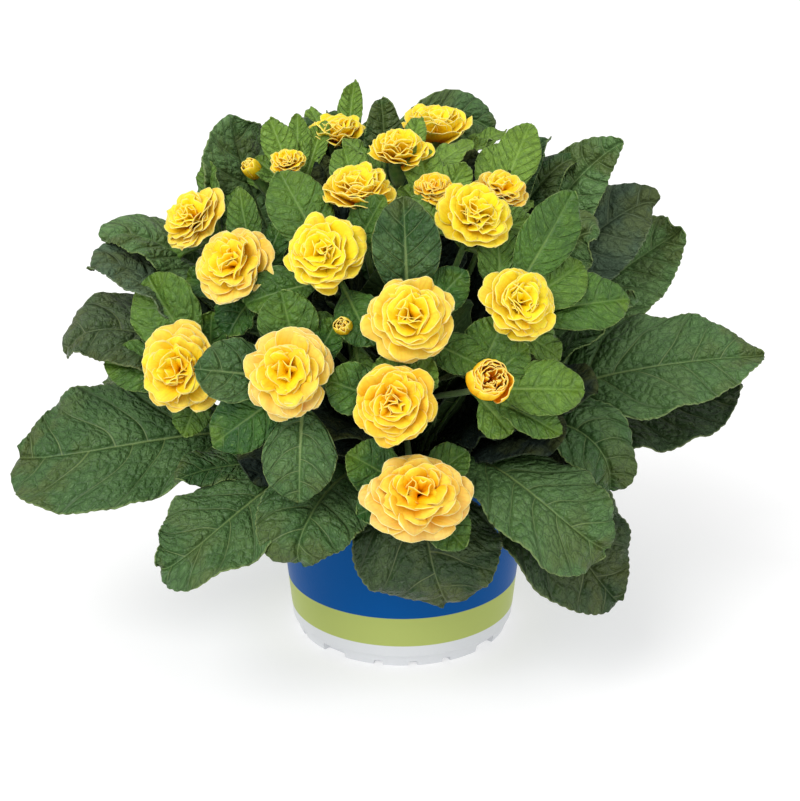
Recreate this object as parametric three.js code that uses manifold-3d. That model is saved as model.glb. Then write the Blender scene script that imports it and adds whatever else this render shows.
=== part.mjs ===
// A double-flowered primrose in a printed plastic nursery pot.
// Millimetres, +Z up. The origin is the centre of the pot's underside; the plant's front faces -Y.
import * as THREE from "three";
import { mergeVertices } from "three/addons/utils/BufferGeometryUtils.js";
import Module from "manifold-3d";

const wasm = await Module();
wasm.setup();

// ---------------------------------------------------------------- driving dimensions

const GAP = 0.35; // air left between neighbouring solids
const DEGREES = Math.PI / 180;

const POT = {
  height: 94,
  baseRadius: 50.4, // outside, at the table
  topRadius: 60, // outside, just under the lip
  wall: 1.3,
  lipHeight: 6,
  lipReach: 1.6,
  footHeight: 5.5, // the stepped-in ring that the pot stands on
  footStep: 1.3,
  floorTop: 4.2,
  floorLift: 2.6, // the underside is raised between the foot ring and the middle pad
  padRadius: 17,
  footInner: 44,
  sides: 32,
};
const NOTCHES = {
  turn: 5.5, // the pattern is turned this far from the front
  wideWidth: 12.5,
  wideHeight: 4.1,
  slimWidth: 4.2,
  slimHeight: 2.5,
  slimStep: 18.5,
  depth: 9,
};
const DRAIN = { count: 6, radius: 3.5, ring: 33 };

const SOIL = { top: 86, mound: 2, crown: 41 };
const SLOT_LENGTH = 18;

const SHOOT = { ring: 9.2, radius: 4.8, bottom: 70, top: 97, sides: 7, fanCentre: 66, fanShare: 0.045 };
// Each shoot stands in its own hole in the soil and carries the flower stalks of its side of the plant.
const SHOOTS = [
  { name: "front", azimuth: 0 },
  { name: "right", azimuth: 72 },
  { name: "back_right", azimuth: 144 },
  { name: "back_left", azimuth: 216 },
  { name: "left", azimuth: 288 },
];

const STALK = { radius: 1.4, sides: 5, lean: 0.3 };
// A bud's calyx is as much smaller as the bud is than budRadius.
const CALYX = { mouthRadius: 3.9, budRadius: 7 };
const COLLAR = {
  level: 2, // the stretch of the stalk that the leaves grow out of
  drop: 15,
  depth: 1.6,
  petiole: 0.2,
  thickness: 0.9,
  rib: 0.9,
  rootWidth: 1.2,
  roll: 0,
  fold: 10,
  wave: 0.5,
  taper: 0.6,
  shares: [0.4, 0.8],
};

// Where each rank of big leaves stands in the soil.
const RANKS = {
  low: { radius: 28, height: 81 },
  middle: { radius: 22.5, height: 81 },
  high: { radius: 17, height: 81 },
};

// Big leaves. An azimuth is measured from the front towards the right, and a reach from the pot's axis.
// The midrib starts at azimuth root, climbs towards rise [reach, height], leans towards via and ends at tip,
// both [azimuth, reach, height]. upturn is how far the leaf's right-hand side points up, 0 where not given.
const LEAVES = [
  { name: "left_broad", rank: "low", root: -80,
    rise: [52, 118], via: [-73, 145, 97], tip: [-83, 173, 91],
    half: 32, roll: -32, fold: 8, taper: 0.5 },
  { name: "left_lower", rank: "low", root: -44,
    rise: [50, 122], via: [-38.5, 140, 80], tip: [-47, 140, 71],
    half: 24.5, roll: -6, fold: 6 },
  { name: "front_left", rank: "low", root: -22,
    rise: [50, 116], via: [-23, 128, 96], tip: [-23, 109, 75],
    half: 21, roll: -12, fold: 5 },
  { name: "front", rank: "low", root: 10,
    rise: [46, 118], via: [3, 122, 88], tip: [12, 92, 51],
    half: 30, roll: 0, fold: -6 },
  { name: "front_right", rank: "middle", root: 32,
    rise: [46, 124], via: [30, 127, 100], tip: [44, 124, 76],
    half: 25, roll: 4, fold: 6 },
  { name: "right_low", rank: "low", root: 56,
    rise: [50, 126], via: [39, 115, 73], tip: [50, 122, 47],
    half: 28, roll: 8, fold: 5, taper: 0.72 },
  { name: "right_folded", rank: "middle", root: 62,
    rise: [46, 126], via: [55, 113, 130], tip: [61, 104, 86],
    half: 16, roll: 22, fold: 16 },
  { name: "right_under", rank: "low", root: 78,
    rise: [52, 116], via: [93, 126, 94], tip: [93, 154, 114],
    half: 23, roll: 26, fold: 6, taper: 0.75 },
  { name: "right_broad", rank: "middle", root: 83,
    rise: [46, 126], via: [86, 132, 134], tip: [89, 162, 133],
    half: 28, roll: 28, fold: 8, taper: 0.85 },
  { name: "right_mid", rank: "middle", root: 100,
    rise: [44, 108], via: [95, 94, 150], tip: [94, 104, 157],
    half: 15, roll: -4, fold: 8 },
  { name: "right_upper", rank: "high", root: 90,
    rise: [34, 130], via: [91, 77, 206], tip: [89, 86, 186],
    half: 19, roll: 40, fold: 6 },
  { name: "right_back", rank: "middle", root: 112,
    rise: [46, 130], via: [121, 148, 163], tip: [114, 141, 171],
    half: 23, roll: 36, fold: 6 },
  { name: "right_grey", rank: "high", root: 112,
    rise: [34, 142], via: [116, 118, 196], tip: [112, 126, 188],
    half: 22, roll: 36, fold: 6 },
  { name: "right_pointed", rank: "high", root: 130,
    rise: [32, 140], via: [118, 88, 210], tip: [111, 106, 219],
    half: 19, roll: 36, fold: 8, taper: 0.8 },
  { name: "left_upper", rank: "middle", root: -106,
    rise: [42, 138], via: [-95, 120, 205], tip: [-93, 133, 182],
    half: 20, roll: -14, fold: 6 },
  { name: "left_middle", rank: "middle", root: -90,
    rise: [46, 122], via: [-88, 124, 195], tip: [-87, 138, 174],
    half: 22, roll: -10, fold: 6 },
  { name: "left_side", rank: "middle", root: -76,
    rise: [46, 124], via: [-85, 143, 174], tip: [-85, 150, 135],
    half: 24, roll: -22, fold: 6, taper: 0.72 },
  { name: "back_left_tall", rank: "high", root: -112,
    rise: [38, 136], via: [-117.4, 92.7, 217.5], tip: [-119.2, 84.2, 229],
    half: 27, roll: -16, fold: 6, taper: 0.5 },
  { name: "back_tall", rank: "high", root: -178,
    rise: [42, 138], via: [179, 70, 249], tip: [151, 91, 213],
    half: 18.5, roll: 0, fold: 4, upturn: 1 },
  { name: "back_right_tall", rank: "high", root: 158,
    rise: [40, 132], via: [150, 82, 204], tip: [140, 104, 204],
    half: 19, roll: 10, fold: 8 },
  { name: "back_right_low", rank: "low", root: 124,
    rise: [52, 116], via: [124, 130, 108], tip: [122, 154, 84],
    half: 29, roll: 8, fold: 8 },
  { name: "back_low", rank: "low", root: 154,
    rise: [52, 118], via: [154, 128, 106], tip: [156, 148, 76],
    half: 29, roll: -6, fold: 8 },
  { name: "back_middle", rank: "middle", root: 172,
    rise: [46, 126], via: [174, 118, 140], tip: [176, 144, 98],
    half: 27, roll: 4, fold: 8 },
  { name: "back_left_low", rank: "low", root: -156,
    rise: [52, 116], via: [-154, 130, 104], tip: [-150, 152, 78],
    half: 29, roll: 6, fold: 8 },
  { name: "left_back_low", rank: "low", root: -116,
    rise: [52, 116], via: [-118, 130, 112], tip: [-114, 158, 92],
    half: 30, roll: -12, fold: 8 },
  { name: "back_left_middle", rank: "middle", root: -134,
    rise: [46, 128], via: [-136, 116, 154], tip: [-134, 142, 124],
    half: 25, roll: -6, fold: 8 },
];
const BIG_LEAF = {
  petiole: 0.26,
  thickness: 0.8,
  rib: 3,
  rootWidth: 2.4,
  wave: 1.6,
  taper: 0.62,
  stemShare: 0.55, // of the stalk, where its straight lower stretch ends
  shares: [0.06, 0.26, 0.48, 0.7, 0.89],
};

// Flowers: the centre of each bloom's base, which way it looks, its radius and how far it has opened.
// Each collar leaf is [clock angle seen from in front of the bloom, length, half width, lift].
const BLOOMS = [
  { azimuth: 2, reach: 80, height: 176, tilt: 58, facing: 2, radius: 20, stage: "open",
    collar: [[44, 33, 8.5, 0.3], [-2, 51, 13.5, 0.7], [118, 34, 8, 0.2]] },
  { azimuth: -29, reach: 63, height: 194, tilt: 46, facing: -24, radius: 19, stage: "open",
    collar: [[-42, 48, 12.5, 0.7], [27, 35, 9, 0.9], [-118, 40, 10, 0.1], [138, 38, 10, 0.1]] },
  { azimuth: -2, reach: 98, height: 147, tilt: 66, facing: -4, radius: 18.5, stage: "open",
    collar: [[-72, 29, 10, 0.2], [38, 23, 8, 0.4], [-12, 20, 7, 0.4]] },
  { azimuth: 3, reach: 104, height: 107.5, tilt: 50, facing: 4, radius: 23.5, stage: "open",
    collar: [[-62, 30, 11, 0.5], [56, 26, 8, 0.4], [142, 31, 9, 0], [-112, 25, 8, 0]] },
  { azimuth: -29, reach: 94, height: 153, tilt: 62, facing: -12, radius: 20.5, stage: "open",
    collar: [[-90, 43, 13.5, 0.5], [-18, 36, 12, 0.5], [26, 28, 7, 0.3], [176, 50, 15, 0],
      [-130, 46, 12, 0]] },
  { azimuth: -66, reach: 102, height: 139.5, tilt: 66, facing: -22, radius: 20.5, stage: "open",
    collar: [[-92, 46, 10.5, 0.3], [-166, 28, 7.5, 0.1], [-2, 26, 7.5, 0.4], [-40, 49, 16, 0.3]] },
  { azimuth: -64, reach: 77, height: 182, tilt: 52, facing: -36, radius: 19.5, stage: "open",
    collar: [[-26, 40, 7, 0.7], [6, 30, 7, 0.3], [-98, 36, 8, 0.1], [-168, 24, 10, 0]] },
  { azimuth: -89, reach: 88.5, height: 192.5, tilt: 46, facing: -50, radius: 17, stage: "open",
    collar: [[-42, 41, 5.5, 0.5], [-16, 27, 6, 0.2], [-106, 35, 9, 0.1], [84, 26, 7, 0.4]] },
  { azimuth: 34, reach: 82, height: 178, tilt: 54, facing: 28, radius: 18, stage: "open",
    collar: [[42, 57, 11, 0.7], [10, 38, 9, 0.4], [70, 42, 12, 0.4], [94, 56, 12, 0.3], [134, 30, 8, 0]] },
  { azimuth: 34, reach: 52, height: 206, tilt: 38, facing: 18, radius: 18, stage: "open",
    collar: [[76, 34, 6.5, 0.1], [-38, 29, 8, 0.3], [128, 25, 8, 0]] },
  { azimuth: -33, reach: 34, height: 210.5, tilt: 14, facing: -6, radius: 18, stage: "open",
    collar: [[-18, 38, 8, 0.9], [110, 30, 8, 0.5], [-110, 28, 8, 0.5]] },
  { azimuth: -58, reach: 2, height: 220.5, tilt: 12, facing: 0, radius: 16, stage: "open",
    collar: [[-66, 20, 7, 1.3], [16, 36, 5, 0.9], [-46, 32, 7, 0.8], [60, 37, 8, 0.7]] },
  { azimuth: -139, reach: 44, height: 219.5, tilt: 10, facing: -20, radius: 15, stage: "open",
    collar: [[-8, 32, 5, 1.8], [22, 32, 6, 1.1], [-44, 34, 6, 1]] },
  { azimuth: 163, reach: 52.5, height: 215, tilt: 2, facing: 10, radius: 20, stage: "open",
    collar: [[66, 39, 6, 0.6], [84, 26, 7, 1]] },
  { azimuth: 84.5, reach: 42, height: 205.5, tilt: 22, facing: 40, radius: 13.5, stage: "open",
    collar: [[42, 35, 11, 1], [54, 44, 9.5, 1.2], [22, 23, 5, 0.4], [80, 27, 6, 0.2]] },
  { azimuth: 30.5, reach: 26, height: 213, tilt: 32, facing: 6, radius: 9.5, stage: "open",
    collar: [[-4, 30, 8, 0.8], [38, 27, 6.5, 0.7], [-34, 18, 7, 0.4]] },
  { azimuth: -101, reach: 50.5, height: 215, tilt: 22, facing: -20, radius: 9.5, stage: "open",
    collar: [[-38, 32, 7, 1.2], [6, 32, 5, 1], [-16, 32, 5, 1.2], [-64, 26, 6.5, 0.6]] },
  { azimuth: 20, reach: 96, height: 152, tilt: 56, facing: 16, radius: 10.5, stage: "half",
    collar: [[30, 30, 12, 0.5], [60, 28, 7, 0.4], [98, 45, 11.5, 0.2], [148, 23, 9.5, 0],
      [124, 40, 7.5, 0]] },
  { azimuth: -19, reach: 72, height: 167.5, tilt: 55, facing: -14, radius: 5, stage: "bud",
    collar: [[60, 20, 6, 0.3], [-78, 22, 7, 0.2], [160, 20, 6, 0.2]] },
  { azimuth: -109.5, reach: 67.5, height: 207, tilt: 40, facing: -50, radius: 5, stage: "bud",
    collar: [[-68, 34, 5, 0.3], [90, 22, 6, 0.3]] },
  { azimuth: 142, reach: 92, height: 158, tilt: 56, facing: 142, radius: 19, stage: "open",
    collar: [[-80, 34, 11, 0.3], [10, 42, 13, 0.3], [100, 38, 12, 0.2]] },
  { azimuth: -166, reach: 92, height: 168, tilt: 54, facing: -166, radius: 19, stage: "open",
    collar: [[-90, 38, 12, 0.3], [20, 42, 13, 0.3], [110, 38, 12, 0.1]] },
  { azimuth: -134, reach: 94, height: 162, tilt: 56, facing: -134, radius: 18, stage: "open",
    collar: [[-100, 38, 12, 0.2], [0, 42, 13, 0.3], [90, 36, 12, 0.2]] },
];

// Whorls of petals from the outside in, as shares of the bloom's radius. Each petal leaves the core at an
// angle of rise above the bloom's face and ends at an angle of fall. Its rows hold [share of its length,
// sideways, lift].
const BROAD = [
  [[0.55, -1, 0.1], [0.5, 0, 0], [0.55, 1, 0.1]],
  [[0.94, -0.72, 0], [0.93, 0, 0.08], [0.94, 0.72, 0]],
];
const PLAIN = [
  [[0.55, -1, 0.1], [0.55, 1, 0.1]],
  [[0.95, -0.6, 0.1], [0.95, 0.6, 0.1]],
];
const SHORT = [[[0.9, -0.9, 0.1], [0.9, 0.9, 0.1]]];
const WHORLS = {
  open: [
    { core: 0.19, height: 0.02, length: 0.9, rise: 30, fall: 0, rows: BROAD },
    { core: 0.16, height: 0.12, length: 0.72, rise: 58, fall: 24, rows: PLAIN },
    { core: 0.12, height: 0.22, length: 0.42, rise: 84, fall: 60, rows: SHORT },
  ],
  half: [
    { core: 0.4, height: 0.04, length: 1.3, rise: 40, fall: 112, rows: PLAIN },
    { core: 0.28, height: 0.3, length: 0.8, rise: 84, fall: 90, rows: SHORT },
  ],
  bud: [
    { core: 0.42, height: 0.04, length: 1.45, rise: 52, fall: 124, rows: PLAIN },
    { core: 0.24, height: 0.4, length: 0.8, rise: 84, fall: 90, rows: SHORT },
  ],
};
const PETALS = { perWhorl: 5, thickness: 0.75, roll: 14, fill: 0.94, widest: 0.5, apex: 0.14, turn: 47 };

// The room that green parts leave round a bloom: its hull, with small facets smoothed away, and a margin.
const ROOM = { tolerance: 0.5, margin: 0.9 };

const COLOURS = {
  pot: { color: 0xe6e8e9, roughness: 0.42, metalness: 0 },
  soil: { color: 0x2c2622, roughness: 0.95, metalness: 0 },
  leaf: { color: 0x2f5a2b, roughness: 0.6, metalness: 0 },
  shoot: { color: 0x55822f, roughness: 0.6, metalness: 0 },
  bloom: { color: 0xfbd62c, roughness: 0.55, metalness: 0 },
};

// ---------------------------------------------------------------- small helpers

const vector = (x, y, z) => new THREE.Vector3(x, y, z);

/** A point at an azimuth from the front, a reach from the pot's axis and a height. */
function polar(azimuth, reach, height) {
  const angle = azimuth * DEGREES;
  return vector(reach * Math.sin(angle), -reach * Math.cos(angle), height);
}

/** A manifold-3d solid of a closed geometry. */
function solidOf(geometry) {
  const bare = geometry.index ? geometry.toNonIndexed() : geometry.clone();
  const merged = mergeVertices(
    new THREE.BufferGeometry().setAttribute("position", bare.getAttribute("position")),
    1e-3,
  );
  const vertProperties = new Float32Array(merged.attributes.position.array);
  const triVerts = new Uint32Array(merged.index.array);
  return new wasm.Manifold(new wasm.Mesh({ numProp: 3, vertProperties, triVerts }));
}

/** The geometry of a manifold-3d solid. */
function geometryOf(solid) {
  const mesh = solid.getMesh();
  const positions = new Float32Array(mesh.numVert * 3);
  for (let i = 0; i < mesh.numVert; i++) {
    const from = i * mesh.numProp;
    positions.set(mesh.vertProperties.subarray(from, from + 3), i * 3);
  }
  const geometry = new THREE.BufferGeometry();
  geometry.setAttribute("position", new THREE.BufferAttribute(positions, 3));
  geometry.setIndex(new THREE.BufferAttribute(new Uint32Array(mesh.triVerts), 1));
  return geometry;
}

/** The largest body of a solid; loose scraps left by a cut are dropped. */
function largestBody(solid) {
  return solid.decompose().reduce((a, b) => (b.volume() > a.volume() ? b : a));
}

/** A named mesh with its own material. */
function meshOf(name, solid, look) {
  const mesh = new THREE.Mesh(geometryOf(solid), new THREE.MeshStandardMaterial(look));
  mesh.geometry.computeVertexNormals();
  mesh.name = name;
  return mesh;
}

/** A solid of loose triangles that close up, each a list of three points. */
function solidFrom(triangles) {
  const positions = triangles.flat().flatMap((point) => [point.x, point.y, point.z]);
  const geometry = new THREE.BufferGeometry();
  geometry.setAttribute("position", new THREE.Float32BufferAttribute(positions, 3));
  return solidOf(geometry);
}

/**
 * The triangles of a thin sheet through rows of points. Rows may hold different counts, and one point makes
 * a tip. A rooted sheet is left open at its first row, where it grows out of another surface.
 */
function sheetTriangles(rows, rooted = false) {
  const triangles = [];
  const wall = (a, b) => triangles.push([a.top, b.top, b.bottom], [a.top, b.bottom, a.bottom]);
  const both = (a, b, c) => triangles.push([a.top, b.top, c.top], [a.bottom, c.bottom, b.bottom]);
  for (let r = 0; r + 1 < rows.length; r++) {
    const near = rows[r];
    const far = rows[r + 1];
    let i = 0;
    let j = 0;
    while (i < near.length - 1 || j < far.length - 1) {
      const nearShare = near.length > 1 ? (i + 0.5) / (near.length - 1) : 1;
      const farShare = far.length > 1 ? (j + 0.5) / (far.length - 1) : 1;
      if (j >= far.length - 1 || (i < near.length - 1 && nearShare <= farShare)) {
        both(near[i], far[j], near[i + 1]);
        i++;
      } else {
        both(near[i], far[j], far[j + 1]);
        j++;
      }
    }
    wall(near.at(-1), far.at(-1));
    wall(far[0], near[0]);
  }
  const first = rows[0];
  const last = rows.at(-1);
  for (let i = 0; i + 1 < first.length && !rooted; i++) wall(first[i], first[i + 1]);
  for (let i = last.length - 1; i > 0; i--) wall(last[i], last[i - 1]);
  return triangles;
}

// ---------------------------------------------------------------- leaves

/** Half width of a blade at share b of its length. More taper moves the broadest place back to the stalk. */
function bladeOutline(b, taper) {
  const broadest = 1 / (1 + taper);
  return (b * (1 - b) ** taper) / (broadest * (1 - broadest) ** taper);
}

/**
 * The rows of a leaf along a midrib of four control points, each with its upper and lower points. side is the
 * leaf's right-hand side, and extra fattens it all round.
 */
function leafRows(leaf, extra = 0) {
  const { points, side, petiole, half, rootWidth, thickness, rib } = leaf;
  const midrib = new THREE.CubicBezierCurve3(...points);
  return leaf.rows.map(([t, b, across]) => {
    const centre = midrib.getPointAt(t);
    const along = midrib.getTangentAt(t);
    const right = side.clone().addScaledVector(along, -side.dot(along)).normalize();
    const up = along.clone().cross(right);
    const roll = leaf.roll * DEGREES * THREE.MathUtils.smoothstep(t, 0, petiole + 0.25);
    const tiltedSide = right.clone().multiplyScalar(Math.cos(roll)).addScaledVector(up, Math.sin(roll));
    const tiltedUp = up.clone().multiplyScalar(Math.cos(roll)).addScaledVector(right, -Math.sin(roll));
    const width = rootWidth * (1 - b * b) + half * bladeOutline(b, leaf.taper) + extra * 0.6;
    const fold = Math.tan(leaf.fold * DEGREES) * Math.min(1, b * 3);
    const ridge = (rib - thickness) * (1 - t);
    const wave = leaf.wave * Math.sin(b * 23 + leaf.phase) * Math.min(1, b * 2.5);
    if (across === 1) centre.addScaledVector(along, extra * 0.5);
    return Array.from({ length: across }, (_, i) => {
      const u = across === 1 ? 0 : (2 * i) / (across - 1) - 1;
      const height = width * fold * Math.abs(u) - 0.12 * width * u * u + wave * u * Math.abs(u);
      const point = centre.clone().addScaledVector(tiltedSide, width * u).addScaledVector(tiltedUp, height);
      const under = (thickness + extra) / 2 + ridge * (1 - Math.abs(u)) ** 2;
      return {
        top: point.clone().addScaledVector(tiltedUp, (thickness + extra) / 2),
        bottom: point.clone().addScaledVector(tiltedUp, -under),
      };
    });
  });
}

/** Stations of a leaf: share of the whole length, share of the blade and points across. */
function stations(petiole, stemShares, bladeShares, across) {
  const stem = stemShares.map((share) => [petiole * share, 0, 3]);
  const blade = bladeShares.map((b) => [petiole + (1 - petiole) * b, b, across]);
  return [...stem, ...blade, [1, 1, 1]];
}

/** The four control points of a big leaf's midrib. */
function bigLeafPoints({ rank, root, rise, via, tip }) {
  const { radius, height } = RANKS[rank];
  return [polar(root, radius, height), polar(root, ...rise), polar(...via), polar(...tip)];
}

/** A big leaf with its stalk, from under the soil's surface to its tip. */
function bigLeaf(leaf, number, extra = 0) {
  const azimuth = leaf.via[0] * DEGREES;
  const rows = leafRows(
    {
      ...BIG_LEAF,
      ...leaf,
      points: bigLeafPoints(leaf),
      side: vector(Math.cos(azimuth), Math.sin(azimuth), leaf.upturn ?? 0),
      phase: number * 1.9,
      rows: stations(BIG_LEAF.petiole, [0, BIG_LEAF.stemShare], BIG_LEAF.shares, 5),
    },
    extra,
  );
  return solidFrom(sheetTriangles(rows));
}

// ---------------------------------------------------------------- flowers

/** The axes of a bloom: where its base is, the way it looks, and its right and upper sides from in front. */
function bloomAxes({ azimuth, reach, height, tilt, facing }) {
  const origin = polar(azimuth, reach, height);
  const ahead = polar(facing, Math.sin(tilt * DEGREES), Math.cos(tilt * DEGREES));
  const right = vector(0, 0, 1).cross(ahead).normalize();
  const up = ahead.clone().cross(right);
  return { origin, ahead, right, up };
}

/**
 * The triangles of one petal in its bloom's own frame, +Z ahead. It grows out of the side of the bloom's core
 * between two corners, and widens until it meets its neighbours half way.
 */
function petalTriangles(radius, whorl, angle) {
  const outward = vector(Math.cos(angle), Math.sin(angle), 0);
  const across = vector(-Math.sin(angle), Math.cos(angle), 0);
  const core = whorl.core * radius;
  const turn = Math.PI / PETALS.perWhorl;
  const length = whorl.length * radius;
  const place = (share, sideways, lift) => {
    const mean = (whorl.rise + (whorl.fall - whorl.rise) * share * 0.5) * DEGREES;
    const slope = (whorl.rise + (whorl.fall - whorl.rise) * share) * DEGREES;
    const normal = outward.clone().multiplyScalar(-Math.sin(slope)).setZ(Math.cos(slope));
    const reach = core * Math.cos(turn) + length * share * Math.cos(mean);
    const half = Math.min(PETALS.widest * radius, PETALS.fill * reach * Math.tan(turn));
    const tilted = half * sideways * Math.sin(PETALS.roll * DEGREES);
    const middle = outward
      .clone()
      .multiplyScalar(reach)
      .addScaledVector(across, half * sideways)
      .setZ(whorl.height * radius + PETALS.thickness / 2 + length * share * Math.sin(mean))
      .addScaledVector(normal, tilted + lift * half);
    return {
      top: middle.clone().addScaledVector(normal, PETALS.thickness / 2),
      bottom: middle.clone().addScaledVector(normal, -PETALS.thickness / 2),
    };
  };
  const root = [-1, 1].map((hand) => {
    const corner = outward.clone().applyAxisAngle(vector(0, 0, 1), hand * turn).multiplyScalar(core);
    const bottom = corner.clone().setZ(whorl.height * radius);
    return { top: bottom.clone().setZ(bottom.z + PETALS.thickness), bottom };
  });
  const rows = whorl.rows.map((row) => row.map(([share, sideways, lift]) => place(share, sideways, lift)));
  return sheetTriangles([root, ...rows], true);
}

/** The petals of a bloom round its core, one closed body in its own frame. */
function petalsSolid({ radius, stage }, number) {
  const triangles = [];
  const step = (2 * Math.PI) / PETALS.perWhorl;
  const ringAt = (start, reach, height) =>
    Array.from({ length: PETALS.perWhorl }, (_, i) =>
      vector(reach * Math.cos(start + i * step), reach * Math.sin(start + i * step), height),
    );
  let below = null;
  WHORLS[stage].forEach((whorl, level) => {
    const start = number * PETALS.turn * DEGREES + (level * step) / 2;
    const foot = ringAt(start, whorl.core * radius, whorl.height * radius);
    for (let i = 0; i < PETALS.perWhorl; i++) {
      const next = (i + 1) % PETALS.perWhorl;
      if (below) {
        triangles.push([below[i], below[next], foot[i]], [below[next], foot[next], foot[i]]);
      } else if (i > 0 && next > 0) {
        triangles.push([foot[0], foot[next], foot[i]]);
      }
      triangles.push(...petalTriangles(radius, whorl, start + (i + 0.5) * step));
    }
    below = foot.map((point) => point.clone().setZ(point.z + PETALS.thickness));
  });
  const apex = vector(0, 0, below[0].z + PETALS.apex * radius);
  below.forEach((point, i) => triangles.push([point, below[(i + 1) % below.length], apex]));
  return solidFrom(triangles);
}

/** A solid moved from a bloom's own frame to its place on the plant. */
function inPlace(solid, { right, up, ahead, origin }) {
  const matrix = new THREE.Matrix4().makeBasis(right, up, ahead).setPosition(origin);
  return solid.transform(matrix.elements);
}

// ---------------------------------------------------------------- stalks and collar leaves

/** The curve of a flower's stalk from its shoot to its bloom. Stalks fan out, clear of each other. */
function stalkCurve({ origin, ahead }, shoot) {
  const foot = polar(shoot.azimuth, SHOOT.ring, SHOOT.top - 5);
  const away = origin.clone().setZ(0).sub(polar(shoot.azimuth, SHOOT.fanCentre, 0));
  foot.addScaledVector(away, SHOOT.fanShare);
  const end = origin.clone().addScaledVector(ahead, -GAP);
  const climb = end.distanceTo(foot);
  const arrive = end.clone().sub(foot).divideScalar(climb).add(ahead).normalize();
  const lean = foot.clone().addScaledVector(vector(0, 0, 1), climb * STALK.lean);
  const before = end.clone().addScaledVector(arrive, -climb * STALK.lean);
  return new THREE.CubicBezierCurve3(foot, lean, before, end);
}

/** A small leaf that springs from the side of a flower's stalk between two of its corners. */
function collarLeaf({ right, up, ahead }, root, [clock, length, half, lift], number) {
  const angle = clock * DEGREES;
  const out = right.clone().multiplyScalar(Math.sin(angle)).addScaledVector(up, Math.cos(angle));
  const start = root[0].top.clone().add(root[1].top).add(root[0].bottom).add(root[1].bottom).divideScalar(4);
  const place = (forward, outward) =>
    start.clone().addScaledVector(ahead, forward * length).addScaledVector(out, outward * length);
  const rows = leafRows({
    ...COLLAR,
    points: [start, place(0.12, 0.22), place(0.3 * lift + 0.16, 0.62), place(lift * 0.5 + 0.08, 1)],
    side: ahead.clone().cross(out),
    half,
    phase: number * 2.1 + length,
    rows: stations(COLLAR.petiole, [], COLLAR.shares, 3),
  });
  return sheetTriangles([root, ...rows], true);
}

/** One flower's stalk and calyx, with the collar leaves growing out of it, as one closed body. */
function stalkSolid(bloom, shoot) {
  const axes = bloomAxes(bloom);
  const curve = stalkCurve(axes, shoot);
  const length = curve.getLength();
  const size = bloom.stage === "bud" ? Math.min(1, bloom.radius / CALYX.budRadius) : 1;
  const turn = 360 / STALK.sides;
  const lead = bloom.collar[0][0];
  const levels = [
    [0, STALK.radius],
    [length * 0.4, STALK.radius],
    [length - COLLAR.drop, STALK.radius],
    [length - COLLAR.drop + COLLAR.depth, STALK.radius],
    [length, CALYX.mouthRadius * size],
  ];
  const rings = levels.map(([distance, radius]) => {
    const along = curve.getTangentAt(distance / length);
    const centre = curve.getPointAt(distance / length);
    const right = axes.right.clone().addScaledVector(along, -axes.right.dot(along)).normalize();
    const up = along.clone().cross(right);
    return Array.from({ length: STALK.sides }, (_, i) => {
      const clock = (lead + turn * (0.5 - i)) * DEGREES;
      return centre
        .clone()
        .addScaledVector(right, radius * Math.sin(clock))
        .addScaledVector(up, radius * Math.cos(clock));
    });
  });
  const leafSides = new Map();
  for (const entry of bloom.collar) {
    let side = (Math.round((lead - entry[0]) / turn) + 2 * STALK.sides) % STALK.sides;
    while (leafSides.has(side)) side = (side + 1) % STALK.sides;
    leafSides.set(side, entry);
  }
  const triangles = [];
  const last = rings.at(-1);
  for (let i = 1; i + 1 < STALK.sides; i++) {
    triangles.push([rings[0][0], rings[0][i + 1], rings[0][i]], [last[0], last[i], last[i + 1]]);
  }
  for (let level = 0; level + 1 < rings.length; level++) {
    const [low, high] = [rings[level], rings[level + 1]];
    for (let i = 0; i < STALK.sides; i++) {
      const j = (i + 1) % STALK.sides;
      if (level === COLLAR.level && leafSides.has(i)) {
        const root = [i, j].map((corner) => ({ top: high[corner], bottom: low[corner] }));
        triangles.push(...collarLeaf(axes, root, leafSides.get(i), i));
      } else {
        triangles.push([low[i], low[j], high[j]], [low[i], high[j], high[i]]);
      }
    }
  }
  return solidFrom(triangles);
}

/** The shoot that stands nearest to a bloom's azimuth. */
function nearestShoot(bloom) {
  const away = (shoot) => Math.abs(((bloom.azimuth - shoot.azimuth + 540) % 360) - 180);
  return SHOOTS.reduce((a, b) => (away(b) < away(a) ? b : a));
}

/** The buried foot of a shoot, which its stalks grow from. */
function shootFoot(shoot, extra = 0) {
  const height = SHOOT.top - SHOOT.bottom + extra;
  const foot = new THREE.CylinderGeometry(
    SHOOT.radius * 0.8 + extra,
    SHOOT.radius + extra,
    height,
    SHOOT.sides,
  ).rotateX(Math.PI / 2);
  const { x, y } = polar(shoot.azimuth, SHOOT.ring, 0);
  return solidOf(foot.translate(x, y, SHOOT.bottom - extra + height / 2));
}

// ---------------------------------------------------------------- pot and soil

/** The slot in the soil that a big leaf's stalk stands in. */
function slotFor(leaf) {
  const midrib = new THREE.CubicBezierCurve3(...bigLeafPoints(leaf));
  const foot = midrib.getPointAt(0);
  const along = midrib.getPointAt(BIG_LEAF.petiole * BIG_LEAF.stemShare).sub(foot).normalize();
  const angle = leaf.via[0] * DEGREES;
  const across = vector(Math.cos(angle), Math.sin(angle), 0);
  across.addScaledVector(along, -across.dot(along)).normalize();
  const width = 2 * (BIG_LEAF.rootWidth + GAP + 0.4);
  const depth = BIG_LEAF.rib + 2 * GAP + 0.8;
  const slot = new THREE.BoxGeometry(width, depth, SLOT_LENGTH);
  slot.translate(0, -BIG_LEAF.rib / 2 + 0.4, SLOT_LENGTH / 2 - 1);
  const frame = new THREE.Matrix4().makeBasis(across, along.clone().cross(across), along);
  return solidOf(slot.applyMatrix4(frame.setPosition(foot)));
}

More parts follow.
